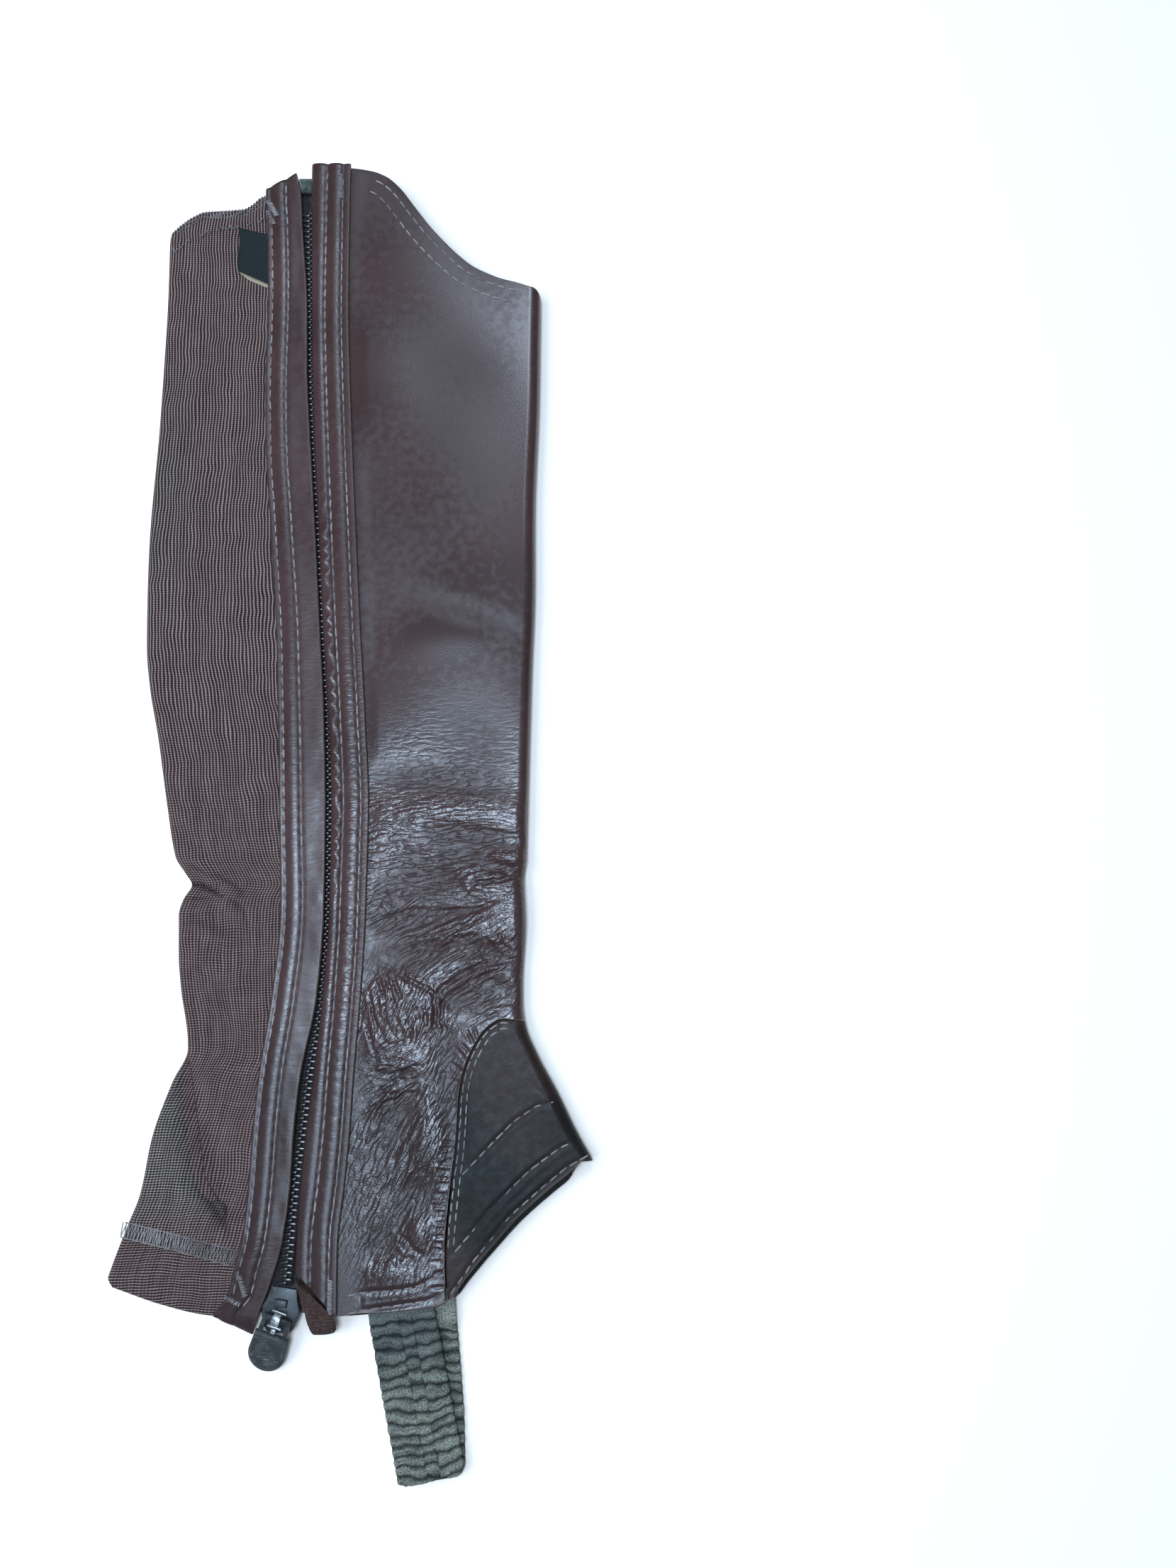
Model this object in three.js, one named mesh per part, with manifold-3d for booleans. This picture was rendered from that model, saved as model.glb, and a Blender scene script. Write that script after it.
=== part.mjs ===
// One leather and stretch-knit half chap, closed by its zip and laid flat with the zip upwards.
// Millimetres, +Z up, +X towards the shin fold, +Y towards the knee. The surface it lies on is z = 0.
import * as THREE from "three";
import { mergeVertices } from "three/addons/utils/BufferGeometryUtils.js";
import Module from "manifold-3d";

const wasm = await Module();
wasm.setup();

// ---- driving dimensions -------------------------------------------------------------------

const LEATHER = 1.8; // thickness of the leather panel and cap, with its backing
const KNIT = 1.3; // thickness of the stretch knit
const BAND = 1.2; // thickness of the leather zip bands
const GAP = 0.3; // clearance between pieces that touch
const SHIN_HEIGHT = 7.5; // overall height of the leather's fold at the shin
const ZIP_DROP = 1.4; // how much lower the leather lies at the zip
const SHIN_ROUND = 4.5; // how far in the round of the shin fold reaches
const CALF_HEIGHT = 4.4; // overall height of the knit's fold at the calf
const CALF_ROUND = 2.5; // how far in the round of the calf fold reaches
const KNIT_RISE = 1.2; // how much higher the knit lies at the zip band
const BACK_REACH = 1.2; // back seam, as a share of the leather's front width
const KNIT_TUCK = 6; // knit hidden under the zip band
const PANEL_SETBACK = 3.8; // leather's raw edge, from the middle of the zip
const BACK_HEM_DROP = 2; // the back layer's hem hangs this far below the front one
const BACK_TOP = 204.5; // knee edge of the back layer, at the shin fold
const SEAM_TOP = 226; // knee edge of the back layer, at the back seam
const KNIT_BACK_TOP = 229; // knee edge of the back layer, at the calf fold
const STRAP_LIFT = 0.9; // how much the strap's ends lift the front hem
const SLIDER_ROOM = 4; // how far the leather steps back beside the slider
const CORNER_CUT = 12; // height of the corner cut off the front below the zip flap
const STITCH_ROWS = { left: [2.2, 8.9], right: [10, 3.1] }; // from each band's outer edge
const CHANNEL_PUFF = 0.7; // padding between a band's two rows of stitches

// ---- curves through short tables ----------------------------------------------------------

const clamp01 = (t) => Math.min(1, Math.max(0, t));
const mix = (a, b, t) => a + (b - a) * t;
const ease = (from, to, value) => {
  const t = clamp01((value - from) / (to - from));
  return t * t * (3 - 2 * t);
};

// A smooth curve through a table's rows that never overshoots them (monotone cubic).
function curve(rows, key, column) {
  const sorted = [...rows].sort((p, q) => p[key] - q[key]);
  const at = sorted.map((row) => row[key]);
  const value = sorted.map((row) => row[column]);
  const slope = at.slice(1).map((t, i) => (value[i + 1] - value[i]) / (t - at[i]));
  const tangent = value.map((_, i) => {
    if (i === 0) return slope[0];
    if (i === slope.length) return slope[i - 1];
    if (slope[i - 1] * slope[i] <= 0) return 0;
    return (2 * slope[i - 1] * slope[i]) / (slope[i - 1] + slope[i]);
  });
  return (t) => {
    if (t <= at[0]) return value[0];
    if (t >= at[at.length - 1]) return value[value.length - 1];
    const i = at.findIndex((_, n) => t < at[n + 1]);
    const span = at[i + 1] - at[i];
    const u = (t - at[i]) / span;
    return (
      value[i] * (1 + 2 * u) * (1 - u) ** 2 +
      tangent[i] * span * u * (1 - u) ** 2 +
      value[i + 1] * u * u * (3 - 2 * u) +
      tangent[i + 1] * span * u * u * (u - 1)
    );
  };
}

// ---- outline: the two folds and the lines beside the zip ----------------------------------

const SHIN_FOLD = [
  { y: 205, x: 69.6 },
  { y: 159, x: 69.2 },
  { y: 108, x: 67.8 },
  { y: 76, x: 68 },
  { y: 41, x: 67 },
  { y: -15, x: 65.8 },
  { y: -36, x: 65.4 },
  { y: -43, x: 64.5 },
  { y: -62, x: 65.3 },
  { y: -84, x: 64.3 },
  { y: -92, x: 64.4 },
  { y: -101, x: 65.7 },
  { y: -111.5, x: 70.1 },
  { y: -126, x: 78.1 },
  { y: -142, x: 86.2 },
  { y: -151, x: 91.5 },
  { y: -210, x: 123.5 }, // past the toe tip the fold is cut away, and only guides the width
];
const CALF_FOLD = [
  { y: 240, x: -92.3 },
  { y: 195, x: -91.3 },
  { y: 150, x: -91.6 },
  { y: 99, x: -93 },
  { y: 52, x: -91.5 },
  { y: 35, x: -89.3 },
  { y: 13, x: -84.5 },
  { y: -15, x: -79.2 },
  { y: -35, x: -74.7 },
  { y: -42, x: -70.1 },
  { y: -46, x: -67.9 }, // pinched where the knit creases at the ankle
  { y: -52, x: -70.7 },
  { y: -58, x: -72.1 },
  { y: -75, x: -71.4 },
  { y: -86, x: -70 },
  { y: -110, x: -66 },
  { y: -122, x: -71.1 },
  { y: -144, x: -77.7 },
  { y: -164, x: -81.2 },
  { y: -175, x: -85.1 },
  { y: -186, x: -89 },
  { y: -194, x: -91.6 },
];
// band: left band's outer edge. left, right: the edges either side of the teeth.
// zip: middle of the teeth. edge: right band's raw outer edge.
const ZIP_LINES = [
  { y: 268, band: -50.6, left: -38.2, zip: -31.9, right: -30.6, edge: -13.5 },
  { y: 252, band: -50, left: -34.6, zip: -31.7, right: -30.3, edge: -13.3 },
  { y: 240, band: -49, left: -33.7, zip: -31.2, right: -29.8, edge: -13.1 },
  { y: 200, band: -47, left: -30, zip: -29.3, right: -28.2, edge: -12.3 },
  { y: 170, band: -46.6, left: -28.9, zip: -27.8, right: -26.8, edge: -10.8 },
  { y: 140, band: -45.3, left: -26.5, zip: -25.6, right: -24.9, edge: -8.9 },
  { y: 100, band: -41.5, left: -22.9, zip: -22.1, right: -21.7, edge: -6.1 },
  { y: 60, band: -37.6, left: -19.7, zip: -18.9, right: -18.5, edge: -3.1 },
  { y: 20, band: -35.1, left: -16.4, zip: -15.6, right: -14.8, edge: 0.2 },
  { y: -20, band: -33, left: -14.5, zip: -13.9, right: -12.4, edge: 2.7 },
  { y: -60, band: -31.1, left: -13.8, zip: -13.2, right: -12, edge: 2.6 },
  { y: -90, band: -33.2, left: -15.4, zip: -14.3, right: -13.4, edge: 1.6 },
  { y: -120, band: -36.9, left: -20.6, zip: -18.2, right: -15.8, edge: -0.1 },
  { y: -140, band: -38.2, left: -22.2, zip: -19.9, right: -17.7, edge: -0.9 },
  { y: -160, band: -38.9, left: -22.9, zip: -21.9, right: -19.2, edge: -2.3 },
  { y: -180, band: -40.6, left: -25, zip: -23, right: -19.9, edge: -4 },
  { y: -192, band: -43.6, left: -28, zip: -23.7, right: -20, edge: -3.9 },
  { y: -200, band: -45.4, left: -30.7, zip: -24.2, right: -20, edge: -3.7 },
  { y: -208, band: -50.8, left: -33.7, zip: -24.8, right: -20, edge: -3.6 },
  { y: -215, band: -52, left: -36, zip: -25, right: -20, edge: -3.6 },
];
// Across the leather, share 0 is the shin fold and 1 the edge by the zip.
const KNEE_EDGE = [
  { share: 0, y: 209.4 },
  { share: 0.06, y: 211.3 },
  { share: 0.14, y: 213.4 },
  { share: 0.207, y: 216 },
  { share: 0.274, y: 219.4 },
  { share: 0.341, y: 224.7 },
  { share: 0.408, y: 231.2 },
  { share: 0.475, y: 238.6 },
  { share: 0.541, y: 247.2 },
  { share: 0.61, y: 256.2 },
  { share: 0.678, y: 262 },
  { share: 0.746, y: 264.7 },
  { share: 0.841, y: 266.2 },
  { share: 1, y: 267 },
];
const CAP_SEAM = [
  { share: 0, y: -98.8 },
  { share: 0.05, y: -98.4 },
  { share: 0.118, y: -100.4 },
  { share: 0.222, y: -107.2 },
  { share: 0.319, y: -117.1 },
  { share: 0.38, y: -127 },
  { share: 0.432, y: -142.4 },
  { share: 0.49, y: -159.1 },
  { share: 0.546, y: -179.5 },
  { share: 0.567, y: -193.1 },
  { share: 0.574, y: -202.6 },
];
const HEM = [
  { share: 0, y: -151.4 },
  { share: 0.031, y: -153.7 },
  { share: 0.158, y: -161.7 },
  { share: 0.29, y: -171.3 },
  { share: 0.418, y: -183.6 },
  { share: 0.502, y: -193.1 },
  { share: 0.562, y: -200.8 },
  { share: 0.6, y: -203.4 },
  { share: 0.666, y: -204.6 },
  { share: 0.739, y: -205.6 },
  { share: 0.801, y: -206 },
  { share: 0.88, y: -207 },
  { share: 1, y: -207 },
];
// Across the knit, share 0 is the calf fold and 1 the edge under the zip band.
const KNIT_TOP = [
  { share: 0, y: 237.4 },
  { share: 0.07, y: 240.5 },
  { share: 0.167, y: 243.8 },
  { share: 0.288, y: 246.2 },
  { share: 0.468, y: 246.6 },
  { share: 0.645, y: 247.2 },
  { share: 0.741, y: 249.6 },
  { share: 0.818, y: 252.8 },
  { share: 1, y: 255.2 },
];
const KNIT_HEM = [
  { share: 0, y: -197.6 },
  { share: 0.365, y: -203.4 },
  { share: 0.8, y: -207.5 },
  { share: 1, y: -208.2 },
];

const shinFold = curve(SHIN_FOLD, "y", "x");
const calfFold = curve(CALF_FOLD, "y", "x");
const bandEdge = curve(ZIP_LINES, "y", "band");
const leftEdge = curve(ZIP_LINES, "y", "left");
const zipMiddle = curve(ZIP_LINES, "y", "zip");
const rightEdge = curve(ZIP_LINES, "y", "right");
const rawEdge = curve(ZIP_LINES, "y", "edge");
const kneeEdge = curve(KNEE_EDGE, "share", "y");
const capSeam = curve(CAP_SEAM, "share", "y");
const hem = curve(HEM, "share", "y");
const knitTop = curve(KNIT_TOP, "share", "y");
const knitHem = curve(KNIT_HEM, "share", "y");
const CAP_SHARE = CAP_SEAM[CAP_SEAM.length - 1].share; // where the cap runs out at the hem

// ---- largest folds ------------------------------------------------------------------------

// Each is a soft trough (rise below 0) or ridge from one end to the other.
const LEATHER_FOLDS = [
  { x0: 18, y0: 72, x1: 62, y1: 57, width: 5, rise: -0.5 },
  { x0: 8, y0: -2, x1: 60, y1: -10, width: 6, rise: -0.5 },
  { x0: 28, y0: -22, x1: 69, y1: -31, width: 4, rise: -0.8 },
  { x0: 34, y0: -33, x1: 69, y1: -43, width: 3, rise: -0.9 },
  { x0: 30, y0: -38, x1: 64, y1: -52, width: 5, rise: 0.5 },
  { x0: 8, y0: -48, x1: 40, y1: -36, width: 4, rise: -0.6 },
  { x0: 6, y0: -62, x1: 48, y1: -58, width: 4, rise: -0.7 },
  { x0: 6, y0: -78, x1: 40, y1: -70, width: 4, rise: -0.7 },
  { x0: 40, y0: -66, x1: 68, y1: -78, width: 4, rise: -0.7 },
  { x0: 8, y0: -96, x1: 34, y1: -84, width: 6, rise: -0.6 },
  { x0: 44, y0: -82, x1: 67, y1: -93, width: 3, rise: -0.7 },
  { x0: 26, y0: -112, x1: 44, y1: -96, width: 7, rise: 0.6 },
  { x0: 8, y0: -150, x1: 26, y1: -120, width: 5, rise: -0.6 },
  { x0: 12, y0: -182, x1: 32, y1: -150, width: 6, rise: -0.6 },
];
const KNIT_FOLDS = [
  { x0: -70, y0: -45, x1: -55, y1: -50, width: 2.5, rise: -0.9 },
  { x0: -73, y0: -36, x1: -55, y1: -41, width: 5, rise: 0.9 },
  { x0: -73, y0: -56, x1: -56, y1: -58, width: 5, rise: 0.8 },
  { x0: -67, y0: -112, x1: -46, y1: -168, width: 4.5, rise: -0.9 },
  { x0: -75, y0: -132, x1: -58, y1: -172, width: 9, rise: 1.7 },
];

// Height that a table of folds adds at a point.
function foldRise(folds, x, y) {
  let total = 0;
  for (const { x0, y0, x1, y1, width, rise } of folds) {
    const dx = x1 - x0;
    const dy = y1 - y0;
    const along = clamp01(((x - x0) * dx + (y - y0) * dy) / (dx * dx + dy * dy));
    const away = Math.hypot(x - x0 - along * dx, y - y0 - along * dy);
    const fade = Math.sin(Math.PI * mix(0.12, 0.88, along));
    total += rise * fade * Math.exp(-((away / width) ** 2));
  }
  return total;
}

// ---- the flattened tube -------------------------------------------------------------------

const leatherReach = (y) => shinFold(y) - SHIN_ROUND - zipMiddle(y) - PANEL_SETBACK;
const leatherX = (share, y) => shinFold(y) - SHIN_ROUND - share * leatherReach(y);
// The front's edge by the zip steps back to leave the slider room.
const sliderRoom = (share, y) => SLIDER_ROOM * ease(0.9, 1, share) * ease(-188, -195, y);
const leatherShare = (x, y) => (shinFold(y) - SHIN_ROUND - x) / leatherReach(y);

// Height of the front leather's outer face; the strap's two ends lift it at the hem.
function leatherTop(share, y) {
  const overStrap = ease(0.35, 0.58, share) * (1 - ease(0.88, 0.98, share));
  const lift = STRAP_LIFT * overStrap * ease(-160, -196, y);
  return SHIN_HEIGHT - ZIP_DROP * share + lift;
}

// Columns across a folded wall: the front, round the fold, then the back.
function foldColumns(front, back, foldSteps) {
  const columns = front.map((share) => ({ side: "front", share }));
  for (let i = 1; i < foldSteps; i += 1) {
    columns.push({ side: "fold", share: 0, angle: Math.PI * (0.5 - i / foldSteps) });
  }
  return columns.concat(back.map((share) => ({ side: "back", share })));
}

// A point of the leather, so deep below its outer face. deep 0 is the grain side.
function leatherPoint({ side, share, angle }, y, deep) {
  const x = leatherX(share, y) + (side === "front" ? sliderRoom(share, y) : 0);
  if (side === "back") return [x, y, deep];
  const crease = deep === 0 ? foldRise(LEATHER_FOLDS, x, y) * (1 - ease(0.78, 0.86, share)) : 0;
  if (side === "front") return [x, y, leatherTop(share, y) - deep + crease];
  const inward = deep - crease * Math.max(0, Math.sin(angle));
  const half = SHIN_HEIGHT / 2;
  return [
    x + (SHIN_ROUND - inward) * Math.cos(angle),
    y,
    half + (half - inward) * Math.sin(angle),
  ];
}

const backSeam = (y) => leatherX(BACK_REACH, y);
const knitReach = (y) => bandEdge(y) + KNIT_TUCK - calfFold(y) - CALF_ROUND;
const HEM_HEIGHT = { fold: 3.8, band: 3.5 }; // the front knit's outer face at its hem
const settle = (y) => ease(-182, -207, y); // the knit's hem sinks onto the back layer

// Height of the front knit's outer face.
function knitHeight(share, y) {
  const lying = CALF_HEIGHT + KNIT_RISE * share;
  return mix(lying, mix(HEM_HEIGHT.fold, HEM_HEIGHT.band, share), settle(y));
}
function knitPoint({ side, share, angle }, y, deep) {
  if (side === "back") {
    const reach = backSeam(y) - 2 * GAP - calfFold(y) - CALF_ROUND;
    return [calfFold(y) + CALF_ROUND + share * reach, y, deep];
  }
  const x = calfFold(y) + CALF_ROUND + share * knitReach(y);
  const crease = foldRise(KNIT_FOLDS, x, y) * (1 - ease(0.72, 0.84, share));
  if (side === "front") return [x, y, knitHeight(share, y) - deep + crease];
  const half = knitHeight(0, y) / 2;
  return [
    x - (CALF_ROUND - deep) * Math.cos(angle),
    y,
    half + (half - deep + crease / 2) * Math.sin(angle) + crease / 2,
  ];
}

// ---- solids -------------------------------------------------------------------------------

function finished(positions, index) {
  const geometry = new THREE.BufferGeometry();
  geometry.setAttribute("position", new THREE.Float32BufferAttribute(positions, 3));
  geometry.setIndex(index);
  const a = new THREE.Vector3();
  const b = new THREE.Vector3();
  const c = new THREE.Vector3();
  const place = geometry.attributes.position;
  let volume = 0;
  for (let i = 0; i < index.length; i += 3) {
    a.fromBufferAttribute(place, index[i]);
    b.fromBufferAttribute(place, index[i + 1]);
    c.fromBufferAttribute(place, index[i + 2]);
    volume += a.dot(b.cross(c));
  }
  if (volume < 0) geometry.setIndex(index.reverse());
  geometry.computeVertexNormals();
  return geometry;
}

// A closed wall between two grids of points, grid[column][row].
function wallBetween(outer, inner) {
  const columns = outer.length;
  const rows = outer[0].length;
  const positions = [...outer, ...inner].flat(2);
  const out = (i, j) => i * rows + j;
  const inn = (i, j) => (columns + i) * rows + j;
  const index = [];
  const quad = (a, b, c, d) => index.push(a, b, c, a, c, d);
  for (let i = 0; i + 1 < columns; i += 1) {
    for (let j = 0; j + 1 < rows; j += 1) {
      quad(out(i, j), out(i + 1, j), out(i + 1, j + 1), out(i, j + 1));
      quad(inn(i, j), inn(i, j + 1), inn(i + 1, j + 1), inn(i + 1, j));
    }
    quad(out(i + 1, 0), out(i, 0), inn(i, 0), inn(i + 1, 0));
    quad(out(i, rows - 1), out(i + 1, rows - 1), inn(i + 1, rows - 1), inn(i, rows - 1));
  }
  for (let j = 0; j + 1 < rows; j += 1) {
    quad(out(0, j), out(0, j + 1), inn(0, j + 1), inn(0, j));
    quad(out(columns - 1, j + 1), out(columns - 1, j), inn(columns - 1, j), inn(columns - 1, j + 1));
  }
  return finished(positions, index);
}

const steps = (count) => Array.from({ length: count + 1 }, (_, i) => i / count);

// A folded wall whose rows run from bottom(column) to top(column).
function foldedWall(columns, rowSteps, bottom, top, pointAt, thickness) {
  const grid = (deep) =>
    columns.map((column) =>
      steps(rowSteps).map((t) => pointAt(column, mix(bottom(column), top(column), t), deep)),
    );
  return wallBetween(grid(0), grid(thickness));
}

// A flat-lying strip between two lines in x, with a height for its underside.
function stripWall({ across, rowSteps, from, to, bottom, top, under, thickness, puff }) {
  const grid = (raised) =>
    steps(across).map((g) =>
      steps(rowSteps).map((t) => {
        const y = mix(bottom(g), top(g), t);
        const x = mix(from(y), to(y), g);
        const extra = raised && puff ? puff(x, y) : 0;
        return [x, y, under(x, y) + (raised ? thickness + extra : 0)];
      }),
    );
  return wallBetween(grid(true), grid(false));
}

const MIDDLE = { x: 0.63, y: 0.4 }; // brings the middle of the part's outline over its origin
const group = new THREE.Group();
group.position.set(MIDDLE.x, MIDDLE.y, 0);
function add(name, geometry, color, roughness, metalness = 0) {
  const material = new THREE.MeshStandardMaterial({ color, roughness, metalness });
  const mesh = new THREE.Mesh(geometry, material);
  mesh.name = name;
  group.add(mesh);
  return mesh;
}

// ---- leather panel: front, round the shin and across the back to the hidden seam -----------

const CAP_SHARES = [0.12, 0.22, 0.32, 0.38, 0.432, 0.49, 0.546, CAP_SHARE - 0.005];
const FRONT_SHARES = [1, 0.95, 0.9, 0.84, 0.76, 0.68, 0.61, CAP_SHARE + 0.004];
const panelFront = [...FRONT_SHARES, ...[...CAP_SHARES].reverse(), 0];
const panelBack = [0, 0.12, 0.22, 0.32, 0.38, 0.432, 0.49, 0.546, CAP_SHARE - 0.005];
panelBack.push(CAP_SHARE + 0.004, 0.7, 0.85, 1, BACK_REACH);
const seamGap = 0.004; // a share that keeps the cap's seam about 0.5 mm open

const underCap = ({ share }) => share < CAP_SHARE;
const hemOf = ({ side, share }) => {
  const drop = side === "front" ? 0 : BACK_HEM_DROP * ease(0, 0.1, share) * (1 - ease(0.9, 1, share));
  return hem(share) - drop;
};
// The front's corner by the zip is cut off slanting, under the rolled end of the zip flap.
const cornerCut = ({ side, share }) =>
  side === "front" ? CORNER_CUT * clamp01((share - 0.9) / 0.1) : 0;
const panelBottom = (column) =>
  underCap(column) ? capSeam(column.share) + GAP / 2 : hemOf(column) + cornerCut(column);
function panelTop({ side, share, angle }) {
  if (side === "front") return kneeEdge(share);
  if (side === "fold") return mix(BACK_TOP, kneeEdge(0), clamp01(Math.sin(angle)));
  return mix(BACK_TOP, SEAM_TOP, ease(0, BACK_REACH, share));
}
add(
  "leather_panel",
  foldedWall(
    foldColumns(panelFront, panelBack, 6),
    26,
    panelBottom,
    panelTop,
    leatherPoint,
    LEATHER,
  ),
  0x4a3234,
  0.42,
);

// ---- instep cap: its own piece over the toe of the chap, front and back --------------------

const capColumns = foldColumns([...CAP_SHARES].reverse().concat(0), [0, ...CAP_SHARES], 6);
add(
  "instep_cap",
  foldedWall(
    capColumns,
    7,
    hemOf,
    ({ share }) => capSeam(share + seamGap) - GAP,
    leatherPoint,
    LEATHER,
  ),
  0x3a2f2e,
  0.45,
);

// ---- lining that shows inside the cap's back half ------------------------------------------

const LINING = 1;
const LINING_DEPTH = 24;
const liningShares = [0.06, 0.14, 0.22, 0.32, 0.42, 0.49, 0.54];
const liningColumns = liningShares.map((share) => ({ side: "back", share }));
add(
  "cap_lining",
  foldedWall(
    liningColumns,
    2,
    hemOf,
    (column) => Math.min(hemOf(column) + LINING_DEPTH, capSeam(column.share) - 4),
    (column, y, deep) => leatherPoint(column, y, LEATHER + GAP + LINING - deep),
    LINING,
  ),
  0x1f2222,
  0.95,
);

// ---- stretch knit: front, round the calf and across the back to the seam -------------------

const knitFront = [1, 0.84, 0.7, 0.56, 0.42, 0.28, 0.14, 0];
function knitPanelTop({ side, share, angle }) {
  if (side === "front") return knitTop(share);
  if (side === "fold") return mix(KNIT_BACK_TOP, knitTop(0), clamp01(Math.sin(angle)));
  return mix(KNIT_BACK_TOP, SEAM_TOP, share);
}
function knitPanelBottom({ side, share, angle }) {
  const corner = side === "fold" ? 3 * Math.cos(angle) : 0;
  return knitHem(share) + corner;
}
add(
  "calf_knit",
  foldedWall(
    foldColumns(knitFront, [0, 0.36, 0.8, 1], 6),
    40,
    knitPanelBottom,
    knitPanelTop,
    knitPoint,
    KNIT,
  ),
  0x4b3b36,
  0.92,
);

// ---- zip bands: leather strips sewn on with two rows, padded between them ------------------

const puffBetween = (a, b, x) => {
  const t = clamp01((x - a) / (b - a));
  return CHANNEL_PUFF * Math.sin(Math.PI * t);
};
const LEFT_BAND_HEIGHT = [
  { y: -178, z: 6.1 },
  { y: -190, z: 5.3 },
  { y: -200, z: 4.4 },
  { y: -208, z: 3.85 },
  { y: -215, z: 1.9 },
];
const leftBandUnder = curve(LEFT_BAND_HEIGHT, "y", "z");
add(
  "zip_band_left",
  stripWall({
    across: 7,
    rowSteps: 30,
    from: bandEdge,
    to: leftEdge,
    bottom: (g) => mix(-207.5, -214.5, g),
    top: (g) => mix(255.4, 263.3, g),
    under: (x, y) => leftBandUnder(y),
    thickness: BAND,
    puff: (x, y) =>
      puffBetween(bandEdge(y) + STITCH_ROWS.left[0], bandEdge(y) + STITCH_ROWS.left[1], x),
  }),
  0x46302f,
  0.42,
);
add(
  "zip_band_right",
  stripWall({
    across: 7,
    rowSteps: 30,
    from: rightEdge,
    to: rawEdge,
    bottom: (g) => mix(-191.5, -207.3, g),
    top: () => 267.4,
    under: (x, y) => leatherTop(leatherShare(x, y), y) + GAP,
    thickness: BAND,
    puff: (x, y) =>
      puffBetween(rawEdge(y) - STITCH_ROWS.right[0], rawEdge(y) - STITCH_ROWS.right[1], x),
  }),
  0x4a3233,
  0.4,
);

// ---- zip: two tapes, the closed chain of teeth and the box at its knee end -----------------

const TAPE = { width: 11, thickness: 1, under: 2.9, bottom: -196.5, top: 254.5 };
const CHAIN = { half: 2.8, thickness: 1.5, under: 4.2, bottom: -196.7, top: 247 };
const flatStrip = (from, to, across, { under, thickness, bottom, top }) =>
  stripWall({
    across,
    rowSteps: 26,
    from,
    to,
    bottom: () => bottom,
    top: () => top,
    under: () => under,
    thickness,
  });
add(
  "zip_tape_left",
  flatStrip((y) => zipMiddle(y) - TAPE.width, (y) => zipMiddle(y) - GAP, 1, TAPE),
  0x1d1c1d,
  0.9,
);
add(
  "zip_tape_right",
  flatStrip((y) => zipMiddle(y) + GAP, (y) => zipMiddle(y) + TAPE.width, 1, TAPE),
  0x1d1c1d,
  0.9,
);
add(
  "zip_chain",
  flatStrip((y) => zipMiddle(y) - CHAIN.half, (y) => zipMiddle(y) + CHAIN.half, 2, CHAIN),
  0x151516,
  0.4,
);
const BOX = { width: 8, length: 6.8, height: 3, under: 2.9, shift: -0.6 };
const boxY = TAPE.top + GAP + BOX.length / 2;
const zipBox = add(
  "zip_box",
  new THREE.BoxGeometry(BOX.width, BOX.length, BOX.height),
  0x4d5650,
  0.35,
  0.4,
);
zipBox.position.set(zipMiddle(boxY) + BOX.shift, boxY, BOX.under + BOX.height / 2);

// ---- slider with its bridge, and the pull tab that hinges on it ----------------------------

const SLIDER = {
  rear: [-23.9, -197.2],
  turn: -8 * (Math.PI / 180),
  under: 2.1,
  top: 5.9,
  noseStart: 12.5,
  noseTop: 4.4,
};
const SLIDER_PLAN = [
  { along: 0, half: 4.7 },
  { along: 4, half: 5.6 },
  { along: 7.5, half: 7 },
  { along: 10, half: 7 },
  { along: 14, half: 5.9 },
  { along: 16.5, half: 4.2 },
];
const PIVOT = { x: -25.7, y: -207.8, z: 7.9 };
const BRIDGE = { width: 2.8, outer: 2.7, inner: 1.7 };
const TAB = {
  turn: -18.5 * (Math.PI / 180),
  tilt: 17.4 * (Math.PI / 180),
  thickness: 1.8,
  round: 7.2,
  length: 21.7,
  bar: 1,
  shoulder: 5.3,
  windowHalf: 3.6,
  windowEnd: 6.2,
  waist: 7,
};

function solidOf(geometry) {
  const plain = geometry.index ? geometry.toNonIndexed() : geometry.clone();
  const only = new THREE.BufferGeometry().setAttribute("position", plain.getAttribute("position"));
  const merged = mergeVertices(only, 1e-4);
  return new wasm.Manifold(
    new wasm.Mesh({
      numProp: 3,
      vertProperties: merged.attributes.position.array,
      triVerts: new Uint32Array(merged.index.array),
    }),
  );
}
function geometryOf(solid) {
  const { vertProperties, triVerts } = solid.getMesh();
  const geometry = new THREE.BufferGeometry();
  geometry.setAttribute("position", new THREE.BufferAttribute(vertProperties, 3));
  geometry.setIndex(new THREE.BufferAttribute(triVerts, 1));
  geometry.computeVertexNormals();
  return geometry;
}
// An outline, its holes and a depth, as an ExtrudeGeometry from z = low to z = high.
function plate(outline, low, high, curveSegments = 10) {
  const options = { depth: high - low, bevelEnabled: false, curveSegments };
  return new THREE.ExtrudeGeometry(outline, options).translate(0, 0, low);
}

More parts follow.
